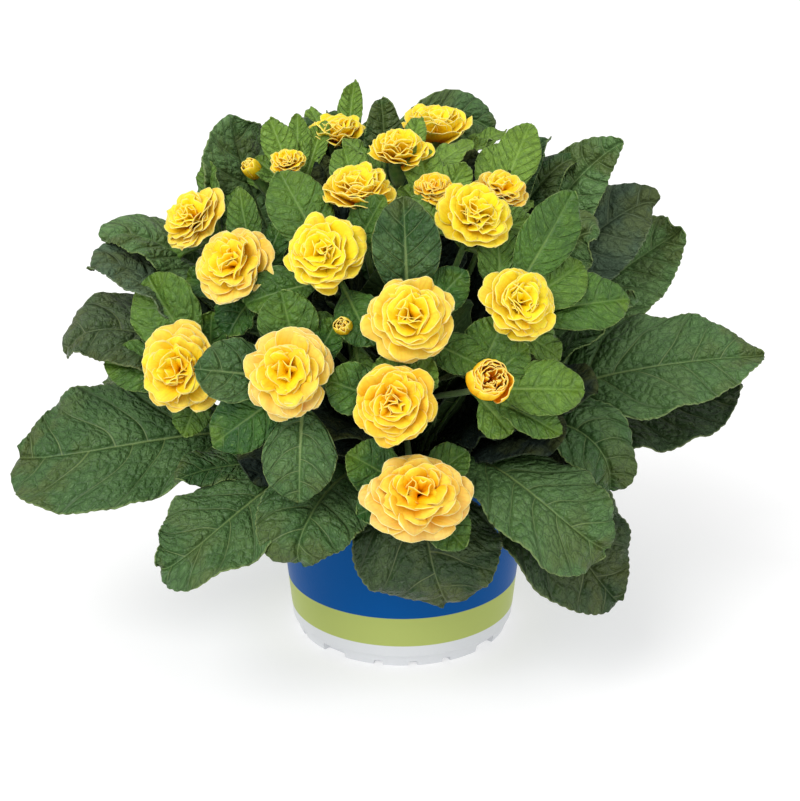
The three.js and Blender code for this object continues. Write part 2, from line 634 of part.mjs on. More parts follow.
/** Outside radius of the pot's wall at a height. */
const potRadius = (z) => POT.baseRadius + ((POT.topRadius - POT.baseRadius) * z) / POT.height;

/** The nursery pot: tapered wall, lip, stepped foot ring with its notches, and drain holes. */
function potSolid() {
  const { height, wall, lipHeight, lipReach, footHeight, footStep, floorTop, floorLift } = POT;
  const outline = [
    [0, 0],
    [POT.padRadius, 0],
    [POT.padRadius + 1, floorLift],
    [POT.footInner - 1, floorLift],
    [POT.footInner, 0],
    [potRadius(0) - footStep - 0.8, 0],
    [potRadius(footHeight) - footStep, footHeight - 0.6],
    [potRadius(footHeight), footHeight + 0.6],
    [potRadius(height - lipHeight), height - lipHeight],
    [potRadius(height - lipHeight) + lipReach, height - lipHeight + 0.4],
    [potRadius(height) + lipReach, height],
    [potRadius(height) - wall, height],
    [potRadius(floorTop + 2) - wall - footStep, floorTop + 2],
    [potRadius(floorTop) - wall - footStep - 2, floorTop],
    [0, floorTop],
  ].map(([x, y]) => new THREE.Vector2(x, y));
  let pot = solidOf(new THREE.LatheGeometry(outline, POT.sides).rotateX(Math.PI / 2));
  const notch = (azimuth, width, tall) => {
    const { x, y } = polar(azimuth, potRadius(0) - 1, 0);
    const box = new THREE.BoxGeometry(width, NOTCHES.depth, 2 * tall).rotateZ(azimuth * DEGREES);
    pot = pot.subtract(solidOf(box.translate(x, y, 0)));
  };
  for (let quarter = 0; quarter < 4; quarter++) {
    const middle = NOTCHES.turn + quarter * 90;
    notch(middle + 45, NOTCHES.wideWidth, NOTCHES.wideHeight);
    for (const step of [-1, 0, 1]) {
      notch(middle + step * NOTCHES.slimStep, NOTCHES.slimWidth, NOTCHES.slimHeight);
    }
  }
  for (let i = 0; i < DRAIN.count; i++) {
    const { x, y } = polar((i + 0.5) * (360 / DRAIN.count), DRAIN.ring, 0);
    const drill = new THREE.CylinderGeometry(DRAIN.radius, DRAIN.radius, 30, 6).rotateX(Math.PI / 2);
    pot = pot.subtract(solidOf(drill.translate(x, y, 0)));
  }
  return pot;
}

/** Potting soil, filling the pot to just under its lip, a little higher round the plant. */
function soilSolid(holes) {
  const bottom = POT.floorTop + GAP;
  const inside = (z) => potRadius(z) - POT.wall - GAP;
  const profile = [
    [0, bottom],
    [inside(bottom) - POT.footStep - 3, bottom],
    [inside(bottom + 3) - POT.footStep, bottom + 3],
    [inside(SOIL.top), SOIL.top],
    [SOIL.crown, SOIL.top + SOIL.mound],
    [0, SOIL.top + SOIL.mound],
  ].map(([x, y]) => new THREE.Vector2(x, y));
  const soil = solidOf(new THREE.LatheGeometry(profile, POT.sides).rotateX(Math.PI / 2));
  return largestBody(soil.subtract(wasm.Manifold.union(holes)));
}

// ---------------------------------------------------------------- the plant

const plant = new THREE.Group();

const blooms = BLOOMS.map((bloom, number) => ({
  name: `bloom_${String(number + 1).padStart(2, "0")}`,
  shoot: nearestShoot(bloom),
  solid: inPlace(petalsSolid(bloom, number), bloomAxes(bloom)),
  bloom,
}));
const leaves = LEAVES.map((leaf, number) => ({
  name: `leaf_${leaf.name}`,
  solid: bigLeaf(leaf, number),
  fat: bigLeaf(leaf, number, 2 * GAP),
}));

/** A bloom's outer shape, a little larger than life, which green parts keep clear of. */
function roomAround({ solid, bloom }) {
  const { origin, ahead } = bloomAxes(bloom);
  const middle = origin.clone().addScaledVector(ahead, bloom.radius * 0.3);
  const swell = 1 + ROOM.margin / bloom.radius;
  return solid
    .hull()
    .simplify(ROOM.tolerance)
    .translate([-middle.x, -middle.y, -middle.z])
    .scale(swell)
    .translate([middle.x, middle.y, middle.z]);
}

const rooms = wasm.Manifold.union(blooms.map(roomAround));
const fatLeaves = wasm.Manifold.union(leaves.map(({ fat }) => fat));
const shoots = [];
for (const shoot of SHOOTS) {
  const mine = blooms.filter((entry) => entry.shoot === shoot);
  const parts = mine.map(({ bloom }) => stalkSolid(bloom, shoot));
  let solid = wasm.Manifold.union([shootFoot(shoot), ...parts]);
  solid = solid.subtract(rooms).subtract(fatLeaves);
  for (const other of shoots) solid = solid.subtract(other.solid);
  shoots.push({ name: `shoot_${shoot.name}`, solid: largestBody(solid) });
}

plant.add(meshOf("pot", potSolid(), COLOURS.pot));
const holes = [...SHOOTS.map((shoot) => shootFoot(shoot, GAP)), ...LEAVES.map(slotFor)];
plant.add(meshOf("soil", soilSolid(holes), COLOURS.soil));
for (const { name, solid } of leaves) plant.add(meshOf(name, solid, COLOURS.leaf));
for (const { name, solid } of shoots) plant.add(meshOf(name, solid, COLOURS.shoot));
for (const { name, solid } of blooms) plant.add(meshOf(`${name}_petals`, solid, COLOURS.bloom));

export default plant;
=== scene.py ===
"""A double yellow primrose in a printed nursery pot, dressed over the frame of its solids.

The tables hold millimetres and degrees in the frame of the solids: +Z up, the plant's front towards -Y.
An azimuth is measured from the front towards the right, and a reach from the pot's axis.
"""

import logging
import math
from collections.abc import Callable
from dataclasses import dataclass
from enum import Enum

import bpy
import numpy as np
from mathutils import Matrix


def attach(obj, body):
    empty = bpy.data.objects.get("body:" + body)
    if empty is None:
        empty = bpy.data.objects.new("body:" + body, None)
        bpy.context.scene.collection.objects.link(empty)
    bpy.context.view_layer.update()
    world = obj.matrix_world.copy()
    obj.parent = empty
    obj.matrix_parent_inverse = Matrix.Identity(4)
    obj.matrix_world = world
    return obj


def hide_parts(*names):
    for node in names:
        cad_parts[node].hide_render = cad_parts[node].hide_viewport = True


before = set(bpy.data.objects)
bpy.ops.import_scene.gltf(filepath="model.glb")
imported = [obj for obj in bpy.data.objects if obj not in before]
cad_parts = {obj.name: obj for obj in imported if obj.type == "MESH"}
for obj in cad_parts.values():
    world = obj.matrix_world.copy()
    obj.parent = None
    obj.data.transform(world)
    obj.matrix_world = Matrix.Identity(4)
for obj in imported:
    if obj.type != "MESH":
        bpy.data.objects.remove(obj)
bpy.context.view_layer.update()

logging.basicConfig(level=logging.INFO, format="%(message)s")
LOG = logging.getLogger("primrose")
MM = 0.001
WELD_DISTANCE = 0.02 * MM
Array = np.ndarray
Piece = bpy.types.Object
Socket = bpy.types.NodeSocket
# A surface turns shares across and along a sheet into points, and into what the finish reads of each point.
Shaped = tuple[Array, dict[str, Array]]
Surface = Callable[[Array, Array], Shaped]
UP = np.array((0.0, 0.0, 1.0))
WHITE = (1.0, 1.0, 1.0, 1.0)


# ---------------------------------------------------------------- numbers and vectors


def linear(code: str) -> tuple[float, float, float, float]:
    """Turns an sRGB hex value into the linear colour that a shader takes.

    Args:
        code: Six hex digits with a leading #.

    Returns:
        Red, green and blue, and an alpha of 1.
    """
    parts = [int(code[i : i + 2], 16) / 255 for i in (1, 3, 5)]
    red, green, blue = (p / 12.92 if p <= 0.04045 else ((p + 0.055) / 1.055) ** 2.4 for p in parts)
    return red, green, blue, 1.0


def polar(azimuth: float, reach: float, height: float) -> Array:
    """The point at an azimuth, a reach and a height."""
    angle = math.radians(azimuth)
    return np.array((reach * math.sin(angle), -reach * math.cos(angle), height))


def unit(vectors: Array) -> Array:
    """The same directions with length one."""
    return vectors / np.linalg.norm(vectors, axis=-1, keepdims=True)


def smooth(values: Array, low: float, high: float) -> Array:
    """A smooth step from 0 at low to 1 at high."""
    share = np.clip((values - low) / (high - low), 0, 1)
    return share * share * (3 - 2 * share)


def ring(across: Array, first: Array, second: Array) -> Array:
    """Directions round a stem at shares of a turn, out of two that point across it."""
    angle = (2 * math.pi * across)[:, None]
    return first * np.cos(angle) + second * np.sin(angle)


def cells(x: Array, y: Array, size: float, seed: int) -> Array:
    """How far points lie from the borders of irregular cells in a plane.

    Args:
        x: First coordinates.
        y: Second coordinates.
        size: Usual width of a cell.
        seed: Picks one pattern.

    Returns:
        The distance to the second nearest cell centre less that to the nearest.
    """
    rng = np.random.default_rng(seed)
    columns = int((x.max() - x.min()) / size) + 3
    rows = int((y.max() - y.min()) / size) + 3
    i, j = np.meshgrid(np.arange(columns), np.arange(rows), indexing="ij")
    jitter = rng.uniform(-0.36, 0.36, (2, columns, rows))
    seed_x = ((i + jitter[0]) * size + x.min() - size).ravel()
    seed_y = ((j + jitter[1]) * size + y.min() - size).ravel()
    away = np.hypot(x[:, None] - seed_x, y[:, None] - seed_y)
    nearest = np.partition(away, 1, axis=1)[:, :2]
    return nearest[:, 1] - nearest[:, 0]


@dataclass(frozen=True)
class Spine:
    """A cubic curve through space that is read by share of its length."""

    points: tuple[Array, Array, Array, Array]

    def curve(self, steps: Array) -> Array:
        """Points of the curve at its own parameter."""
        a, b, c, d = self.points
        t = steps[:, None]
        return a * (1 - t) ** 3 + 3 * b * t * (1 - t) ** 2 + 3 * c * t * t * (1 - t) + d * t**3

    def run(self) -> tuple[Array, Array]:
        """Parameters along the curve and the length up to each."""
        steps = np.linspace(0, 1, 201)
        dense = self.curve(steps)
        walked = np.linalg.norm(np.diff(dense, axis=0), axis=1)
        return steps, np.concatenate(([0.0], np.cumsum(walked)))

    @property
    def length(self) -> float:
        """The whole length."""
        return float(self.run()[1][-1])

    def at(self, shares: Array) -> tuple[Array, Array]:
        """Points and directions at shares of the length.

        Args:
            shares: From 0 at the start to 1 at the end.

        Returns:
            The points and the unit directions along the curve.
        """
        steps, walked = self.run()
        where = np.interp(np.clip(shares, 0, 1) * walked[-1], walked, steps)
        ahead = self.curve(np.minimum(where + 1e-3, 1.0)) - self.curve(np.maximum(where - 1e-3, 0.0))
        return self.curve(where), unit(ahead)


# ---------------------------------------------------------------- modelling helpers


def deselect() -> None:
    """Leaves nothing selected."""
    bpy.ops.object.select_all(action="DESELECT")


def activate(piece: Piece) -> None:
    """Selects one piece alone and makes it the active one.

    Args:
        piece: The piece that the next operators act on.
    """
    deselect()
    piece.select_set(True)
    bpy.context.view_layer.objects.active = piece


def new_sheet(name: str, columns: int, rows: int) -> Piece:
    """Adds a flat sheet of square faces that a surface can shape.

    Args:
        name: The object's name.
        columns: Faces across.
        rows: Faces along.

    Returns:
        The sheet, one unit wide and long.
    """
    deselect()
    bpy.ops.mesh.primitive_grid_add(x_subdivisions=columns, y_subdivisions=rows, size=1.0)
    sheet = bpy.context.active_object
    sheet.name = name
    return sheet


def copy_of(master: Piece, name: str) -> Piece:
    """Copies a modelled piece.

    Args:
        master: The piece that repeats.
        name: The copy's name.

    Returns:
        The copy, with a mesh of its own.
    """
    piece = master.copy()
    piece.data = master.data.copy()
    piece.name = name
    bpy.context.scene.collection.objects.link(piece)
    return piece


def shape(sheet: Piece, surface: Surface) -> Piece:
    """Moves a sheet's points onto a surface and stores what the surface says of each.

    Args:
        sheet: A flat sheet, one unit wide and long.
        surface: Turns shares across and along into millimetre points and named vectors.

    Returns:
        The same sheet.
    """
    mesh = sheet.data
    flat = np.empty(len(mesh.vertices) * 3, np.float32)
    mesh.vertices.foreach_get("co", flat)
    flat = flat.reshape(-1, 3).astype(float) + 0.5
    points, looks = surface(flat[:, 0], flat[:, 1])
    mesh.vertices.foreach_set("co", (points * MM).astype(np.float32).ravel())
    for name, values in looks.items():
        layer = mesh.attributes.new(name, "FLOAT_VECTOR", "POINT")
        layer.data.foreach_set("vector", values.astype(np.float32).ravel())
    mesh.update()
    return sheet


def weld(piece: Piece) -> None:
    """Merges points that meet, so that seams and poles are closed.

    Args:
        piece: A rolled-up sheet, whose faces are turned outwards too.
    """
    activate(piece)
    bpy.ops.object.mode_set(mode="EDIT")
    bpy.ops.mesh.select_all(action="SELECT")
    bpy.ops.mesh.remove_doubles(threshold=WELD_DISTANCE)
    bpy.ops.mesh.normals_make_consistent(inside=False)
    bpy.ops.object.mode_set(mode="OBJECT")


def thicken(piece: Piece, thickness: float, backed: bool = False) -> None:
    """Gives a sheet its thickness.

    Args:
        piece: An open sheet whose faces look up.
        thickness: In millimetres.
        backed: True if the lower side takes the piece's second material.
    """
    activate(piece)
    solid = piece.modifiers.new("thickness", "SOLIDIFY")
    solid.thickness = thickness * MM
    solid.offset = 0.0
    solid.use_even_offset = False
    solid.material_offset = 1 if backed else 0
    bpy.ops.object.modifier_apply(modifier=solid.name)


def draw_out(piece: Piece, rings: list[tuple[float, float]]) -> None:
    """Draws a flat piece out of its open edge, ring by ring, and closes it.

    Args:
        piece: A disc or sheet with one open edge.
        rings: For each ring, how far it lies above the last in millimetres, and its size as a share of the last.
    """
    activate(piece)
    bpy.ops.object.mode_set(mode="EDIT")
    bpy.ops.mesh.select_mode(type="EDGE")
    bpy.ops.mesh.select_all(action="DESELECT")
    bpy.ops.mesh.select_non_manifold()
    for climb, share in rings:
        bpy.ops.mesh.extrude_region_move(TRANSFORM_OT_translate={"value": (0, 0, climb * MM)})
        bpy.ops.transform.resize(value=(share, share, 1))
    bpy.ops.mesh.edge_face_add()
    bpy.ops.mesh.select_all(action="SELECT")
    bpy.ops.mesh.normals_make_consistent(inside=False)
    bpy.ops.object.mode_set(mode="OBJECT")


def join(pieces: list[Piece], name: str) -> Piece:
    """Joins pieces into one with smooth faces.

    Args:
        pieces: What is joined into the first of them.
        name: The name of the whole.

    Returns:
        The whole.
    """
    deselect()
    for piece in pieces:
        piece.select_set(True)
    bpy.context.view_layer.objects.active = pieces[0]
    if len(pieces) > 1:
        bpy.ops.object.join()
    whole = bpy.context.active_object
    whole.name = name
    whole.data.name = name
    bpy.ops.object.shade_smooth()
    return whole


def discard(piece: Piece) -> None:
    """Removes a master shape once its copies are made."""
    bpy.data.objects.remove(piece, do_unlink=True)


def stand_in(piece: Piece, node: str) -> None:
    """Puts a finished piece in the place of its solid, and reports it.

    Args:
        piece: The finished piece.
        node: The solid that it stands for.
    """
    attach(piece, "root")
    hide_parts(node)
    LOG.info("%s: %d faces", piece.name, len(piece.data.polygons))


def tube(name: str, spine: Spine, radius: Callable[[Array], Array], sides: int, rows: int) -> Piece:
    """Models a closed round tube along a spine.

    Args:
        name: The object's name.
        spine: The middle line in millimetres.
        radius: The radius in millimetres at shares of the length.
        sides: Faces round the tube.
        rows: Faces along it.

    Returns:
        The tube with both ends closed.
    """

    def surface(across: Array, along: Array) -> Shaped:
        """The tube's skin; its first and last rows close to a point."""
        inner = np.clip((along * rows - 1) / (rows - 2), 0, 1)
        centre, ahead = spine.at(inner)
        first = unit(np.cross(ahead, np.where(np.abs(ahead[:, 2:]) > 0.94, (0.0, 1.0, 0.0), UP)))
        second = np.cross(first, ahead)
        open_part = ((along > 0.5 / rows) & (along < 1 - 0.5 / rows)).astype(float)
        reach = (radius(inner) * open_part)[:, None]
        points = centre + reach * ring(across, first, second)
        return points, {"blade_mm": np.column_stack((across * 8, inner * spine.length, inner))}

    piece = shape(new_sheet(name, sides, rows), surface)
    weld(piece)
    return piece


# ---------------------------------------------------------------- finishes


def add_node(
    tree: bpy.types.NodeTree, kind: str, settings: dict[str, object] | None = None, **links: object
) -> bpy.types.Node:
    """Adds a node with its settings, values and links.

    Args:
        tree: The material's node tree.
        kind: The node's type name after "ShaderNode".
        settings: Properties of the node itself.
        links: For each input, by name or as in_0 for its number, a value or another node's output.

    Returns:
        The new node.
    """
    node = tree.nodes.new(f"ShaderNode{kind}")
    for key, value in (settings or {}).items():
        setattr(node, key, value)
    for key, value in links.items():
        socket = node.inputs[int(key[3:]) if key.startswith("in_") else key.replace("_", " ")]
        if isinstance(value, Socket):
            tree.links.new(value, socket)
        else:
            socket.default_value = value
    return node


class Painter:
    """Builds one material out of nodes, with short names for what every finish here needs."""

    def __init__(self, name: str) -> None:
        """Starts an empty material with one principled surface."""
        self.material = bpy.data.materials.new(name)
        self.material.use_nodes = True
        self.tree = self.material.node_tree
        self.tree.nodes.clear()
        self.surface = add_node(self.tree, "BsdfPrincipled")
        add_node(self.tree, "OutputMaterial", Surface=self.surface.outputs[0])

    def math(self, operation: str, *values: object) -> Socket:
        """One sum on numbers or outputs."""
        links = {f"in_{i}": value for i, value in enumerate(values)}
        return add_node(self.tree, "Math", {"operation": operation}, **links).outputs[0]

    def step(self, value: object, low: float, high: float, start: float = 0.0, end: float = 1.0) -> Socket:
        """A smooth change from start to end while a value goes from low to high."""
        settings = {"interpolation_type": "SMOOTHSTEP"}
        node = add_node(self.tree, "MapRange", settings, in_0=value, in_1=low, in_2=high, in_3=start, in_4=end)
        return node.outputs[0]

    def mix(self, factor: object, first: object, second: object) -> Socket:
        """Two colours mixed by a factor."""
        return add_node(self.tree, "Mix", {"data_type": "RGBA"}, in_0=factor, in_6=first, in_7=second).outputs[2]

    def parts(self, attribute: str) -> tuple[Socket, list[Socket]]:
        """A stored vector and its three numbers."""
        vector = add_node(self.tree, "Attribute", {"attribute_name": attribute}).outputs["Vector"]
        return vector, list(add_node(self.tree, "SeparateXYZ", Vector=vector).outputs)

    def noise(self, vector: Socket, size: float, detail: float = 2.0) -> Socket:
        """Cloudy noise whose patches are about size across, in the vector's own unit."""
        return add_node(self.tree, "TexNoise", Vector=vector, Scale=1 / size, Detail=detail).outputs[0]

    def relief(self, height: Socket, depth: float) -> None:
        """Raises the surface by a height, depth metres at most."""
        bump = add_node(self.tree, "Bump", Height=height, Distance=depth, Strength=1.0)
        self.tree.links.new(bump.outputs[0], self.surface.inputs["Normal"])

    def colour(self, colour: Socket) -> None:
        """Sets the surface's colour."""
        self.tree.links.new(colour, self.surface.inputs["Base Color"])

    def fixed(self, **values: float) -> None:
        """Sets numbers that are the same all over the surface."""
        for key, value in values.items():
            self.surface.inputs[key.replace("_", " ")].default_value = value


@dataclass(frozen=True)
class LeafFinish:
    """A primrose leaf's skin, quilted and veined, matt with fine down.

    Its puffed cells are what the eye reads first, then the pale midrib. The small cells are a share of the big
    ones. Sizes, widths and depths are in millimetres.
    """

    name: str
    deep: str
    light: str
    fresh: str
    vein: str
    olive: str = "#4b5321"
    roughness: float = 0.42
    specular: float = 0.35
    midrib_share: float = 0.5
    midrib_width: float = 0.9
    vein_share: float = 0.34
    # Share of painted shade in the furrows between the cells.
    furrow_shade_share: float = 0.5
    cell: float = 4.6
    fine_share: float = 0.42
    # Darkness of that painted shade, as a share of the deep colour.
    furrow_shade: float = 0.42
    cloud_size: float = 16.0
    patch_size: float = 3.2
    grain_size: float = 0.8
    relief_depth: float = 1.7

    def edges(self, paint: Painter, place: Socket, cell: float) -> Socket:
        """How far a point is from the border of its cell, in shares of the cell's size."""
        settings = {"feature": "DISTANCE_TO_EDGE", "voronoi_dimensions": "2D"}
        links = {"Vector": place, "Scale": 1 / cell, "Randomness": 0.9}
        return add_node(paint.tree, "TexVoronoi", settings, **links).outputs[0]

    def make(self) -> bpy.types.Material:
        """Builds the skin from the blade's own millimetres and side veins.

        Returns:
            The material.
        """
        paint = Painter(self.name)
        blade, (across, _, phase) = paint.parts("blade_mm")
        _, (share, edge, tone) = paint.parts("place")
        _, (branch, straight, _) = paint.parts("veins")
        side = paint.math("MULTIPLY_ADD", paint.math("GREATER_THAN", across, 0.0), 0.5, branch)
        side = paint.math("ABSOLUTE", paint.math("SUBTRACT", side, paint.math("ROUND", side)))
        # Cells lie along the side veins, so they are drawn in the blade's straightened plane, a little warped.
        plane = add_node(paint.tree, "CombineXYZ", X=paint.math("ADD", across, phase), Y=straight).outputs[0]
        bend = add_node(paint.tree, "TexNoise", Vector=plane, Scale=0.16, Detail=1.0).outputs["Color"]
        links = {"in_0": bend, "in_1": (2.4, 2.4, 0), "in_2": plane}
        warped = add_node(paint.tree, "VectorMath", {"operation": "MULTIPLY_ADD"}, **links).outputs[0]
        coarse = self.edges(paint, warped, self.cell)
        fine = self.edges(paint, warped, self.cell * self.fine_share)
        middle = paint.step(paint.math("ABSOLUTE", across), 0.0, 2.0)

        # Darker and lighter clouds, a fresh or faded tone, and olive towards the tip.
        cloud = paint.noise(blade, self.cloud_size, 3.0)
        patch = paint.noise(blade, self.patch_size)
        skin = paint.mix(paint.step(cloud, 0.35, 0.66), linear(self.deep), linear(self.light))
        skin = paint.mix(tone, skin, linear(self.fresh))
        skin = paint.mix(paint.step(patch, 0.4, 0.7, 0.0, 0.35), skin, linear(self.deep))
        # Painted highlight: the tops of the puffed cells are lightened towards the fresh colour.
        painted_crest_highlight = paint.math("MULTIPLY", paint.step(coarse, 0.22, 0.5, 0.0, 0.3), paint.step(fine, 0.1, 0.4))
        skin = paint.mix(painted_crest_highlight, skin, linear(self.fresh))
        aged = paint.math("MULTIPLY", paint.step(share, 0.55, 1.0, 0.1, 0.7), paint.step(cloud, 0.42, 0.6))
        skin = paint.mix(aged, skin, linear(self.olive))
        # Painted shade in the furrows between the cells, then pale side veins and midrib, and a pale margin.
        # Painted shade: the furrows are darkened where the relief would shade them.
        painted_furrow_shade = paint.math("MULTIPLY", paint.step(coarse, 0.0, 0.085), paint.step(fine, 0.0, 0.08, 0.8, 1.0))
        painted_furrow_shade = paint.math("MULTIPLY", painted_furrow_shade, paint.step(side, 0.03, 0.07))
        dark = [value * self.furrow_shade for value in linear(self.deep)[:3]]
        skin = paint.mix(paint.step(painted_furrow_shade, 0.0, 1.0, self.furrow_shade_share, 0.0), skin, (*dark, 1.0))
        hair = paint.step(side, 0.008, 0.026, self.vein_share, 0.0)
        hair = paint.math("MULTIPLY", hair, paint.step(edge, 0.2, 0.9, 1.0, 0.2))
        skin = paint.mix(hair, skin, linear(self.vein))
        width = paint.step(share, 0.0, 1.0, self.midrib_width, 0.2)
        rib = paint.math("DIVIDE", paint.math("ABSOLUTE", across), width)
        rib = paint.step(rib, 0.7, 1.2, self.midrib_share, 0.0)
        rib = paint.math("MULTIPLY", rib, paint.step(share, 0.1, 1.0, 1.0, 0.25))
        skin = paint.mix(rib, skin, linear(self.vein))
        paint.colour(paint.mix(paint.step(edge, 0.965, 1.0, 0.0, 0.45), skin, linear(self.vein)))

        # Cells puff up in two sizes and sink along the veins, under a fine grain.
        puff = paint.math("MULTIPLY_ADD", paint.step(coarse, 0.0, 0.36), 0.5, paint.step(fine, 0.0, 0.3, 0.0, 0.16))
        height = paint.math("MULTIPLY", paint.math("ADD", puff, 0.3), paint.step(side, 0.0, 0.16, 0.2, 1.0))
        grain = paint.noise(blade, self.grain_size)
        raised = paint.math("MULTIPLY_ADD", grain, 0.1, paint.math("MULTIPLY", height, middle))
        paint.relief(raised, self.relief_depth * MM)
        paint.fixed(Roughness=self.roughness, IOR=1.42, Specular_IOR_Level=self.specular)
        return paint.material


@dataclass(frozen=True)
class StemFinish:
    """A soft green stem: smooth, slightly downy, paler towards the soil."""

    name: str
    pale: str
    green: str
    streak_size: float = 1.6
    relief_depth: float = 0.2

    def make(self) -> bpy.types.Material:
        """Builds the skin from the stem's own length.

        Returns:
            The material.
        """
        paint = Painter(self.name)
        stem, (_, _, share) = paint.parts("blade_mm")
        skin = paint.mix(paint.step(share, 0.0, 0.6), linear(self.pale), linear(self.green))
        streak = paint.noise(stem, self.streak_size)
        paint.colour(paint.mix(paint.step(streak, 0.35, 0.7, 0.0, 0.35), skin, linear(self.pale)))
        paint.relief(streak, self.relief_depth * MM)
        paint.fixed(Roughness=0.5, IOR=1.42, Specular_IOR_Level=0.4, Sheen_Weight=0.15)
        return paint.material


@dataclass(frozen=True)
class PetalFinish:
    """A primrose petal: thin and matt, deep orange towards its base (partly its own colour, partly painted shade in
    the folds), with a pale rim that widens as it ages.
    """

    name: str
    depth: str
    lemon: str
    gold: str
    pale: str
    rim: str
    tip: str = "#fff04a"
    rim_width: float = 0.5
    vein_size: float = 1.2
    vein_squeeze: float = 0.12
    cloud_size: float = 5.0
    relief_depth: float = 0.25
    glow_depth: float = 1.5

    def make(self) -> bpy.types.Material:
        """Builds the skin from the petal's own length, rim distance and age.

        Returns:
            The material.
        """
        paint = Painter(self.name)
        _, (share, rim, age) = paint.parts("petal")
        plane, _ = paint.parts("petal_mm")
        _, (warmth, _, _) = paint.parts("flower")
        # Veins are noise drawn out along the petal.
        veins = add_node(paint.tree, "Mapping", Vector=plane, Scale=(1.0, self.vein_squeeze, 1.0))
        streak = paint.noise(veins.outputs[0], self.vein_size)
        cloud = paint.noise(plane, self.cloud_size)
        body = paint.mix(warmth, linear(self.lemon), linear(self.gold))
        # Deep orange towards the base: partly the petal's own colour, partly painted shade where the petals fold
        # together.
        skin = paint.mix(paint.step(share, 0.04, 0.5), linear(self.depth), body)
        skin = paint.mix(paint.step(share, 0.5, 1.0, 0.0, 0.55), skin, linear(self.tip))
        faded = paint.math("MULTIPLY", age, paint.step(share, 0.35, 1.0, 0.15, 1.0))
        skin = paint.mix(faded, skin, linear(self.pale))
        skin = paint.mix(paint.step(cloud, 0.4, 0.7, 0.0, 0.22), skin, linear(self.depth))
        skin = paint.mix(paint.step(streak, 0.45, 0.75, 0.0, 0.18), skin, linear(self.depth))
        edge = paint.step(rim, 0.0, self.rim_width, 1.0, 0.0)
        edge = paint.math("MULTIPLY", edge, paint.math("MULTIPLY_ADD", age, 0.45, 0.4))
        paint.colour(paint.mix(edge, skin, linear(self.rim)))
        paint.relief(streak, self.relief_depth * MM)
        paint.fixed(Roughness=0.6, IOR=1.4, Specular_IOR_Level=0.15)
        paint.fixed(Subsurface_Weight=0.2, Subsurface_Scale=self.glow_depth * MM)
        paint.surface.inputs["Subsurface Radius"].default_value = (1.0, 0.6, 0.1)
        return paint.material


@dataclass(frozen=True)
class PrintFinish:
    """Printed polypropylene: a smooth moulded wall with a blue field, a green band and the bare white base.

    The edges of the print are heights in millimetres, each soft over twice the blur. The wall is printed where
    it lies outside a cone that starts at foot_radius and widens by slope.
    """

    name: str = "printed polypropylene"
    blue: str = "#005096"
    green: str = "#b0bc69"
    bare: str = "#dcdee1"
    band_bottom: float = 11.5
    band_top: float = 26.0
    field_top: float = 86.5
    blur: float = 0.12
    foot_radius: float = 49.8
    slope: float = 0.1021
    peel_size: float = 1.6
    peel_depth: float = 0.06

    def above(self, paint: Painter, z: Socket, height: float) -> Socket:
        """1 above a height of the wall and 0 below it."""
        return paint.step(z, (height - self.blur) * MM, (height + self.blur) * MM)

    def make(self) -> bpy.types.Material:
        """Builds the print from height on the pot.

        Returns:
            The material.
        """
        paint = Painter(self.name)
        place = add_node(paint.tree, "TexCoord").outputs["Object"]
        x, y, z = add_node(paint.tree, "SeparateXYZ", Vector=place).outputs
        reach = paint.math("SQRT", paint.math("ADD", paint.math("MULTIPLY", x, x), paint.math("MULTIPLY", y, y)))
        # Only the outer skin of the wall is printed.
        skin = paint.math("SUBTRACT", reach, paint.math("MULTIPLY", z, self.slope))
        outside = paint.math("GREATER_THAN", skin, self.foot_radius * MM)
        colour = paint.mix(self.above(paint, z, self.band_bottom), linear(self.bare), linear(self.green))
        colour = paint.mix(self.above(paint, z, self.band_top), colour, linear(self.blue))
        colour = paint.mix(self.above(paint, z, self.field_top), colour, linear(self.bare))
        paint.colour(paint.mix(outside, linear(self.bare), colour))
        # A faint orange peel left by the mould, drawn coarse enough to show.
        paint.relief(paint.noise(place, self.peel_size * MM), self.peel_depth * MM)
        paint.fixed(Roughness=0.34, IOR=1.49, Specular_IOR_Level=0.06)
        return paint.material


@dataclass(frozen=True)
class PeatFinish:
    """Damp potting mix of peat and bark: dark, crumbly and dull, with lighter fibres."""

    name: str = "peat and bark mix"
    dark: str = "#1d1712"
    brown: str = "#46372a"
    fibre: str = "#7a624a"
    clod_size: float = 4.0
    crumb_size: float = 1.1
    relief_depth: float = 0.8

    def make(self) -> bpy.types.Material:
        """Builds the mix from its place in the pot.

        Returns:
            The material.
        """
        paint = Painter(self.name)
        place = add_node(paint.tree, "TexCoord").outputs["Object"]
        clod = paint.noise(place, self.clod_size * MM, 4.0)
        crumb = paint.noise(place, self.crumb_size * MM, 3.0)
        colour = paint.mix(paint.step(clod, 0.35, 0.7), linear(self.dark), linear(self.brown))
        paint.colour(paint.mix(paint.step(crumb, 0.62, 0.75, 0.0, 0.5), colour, linear(self.fibre)))
        paint.relief(crumb, self.relief_depth * MM)
        paint.fixed(Roughness=0.95, Specular_IOR_Level=0.2)
        return paint.material


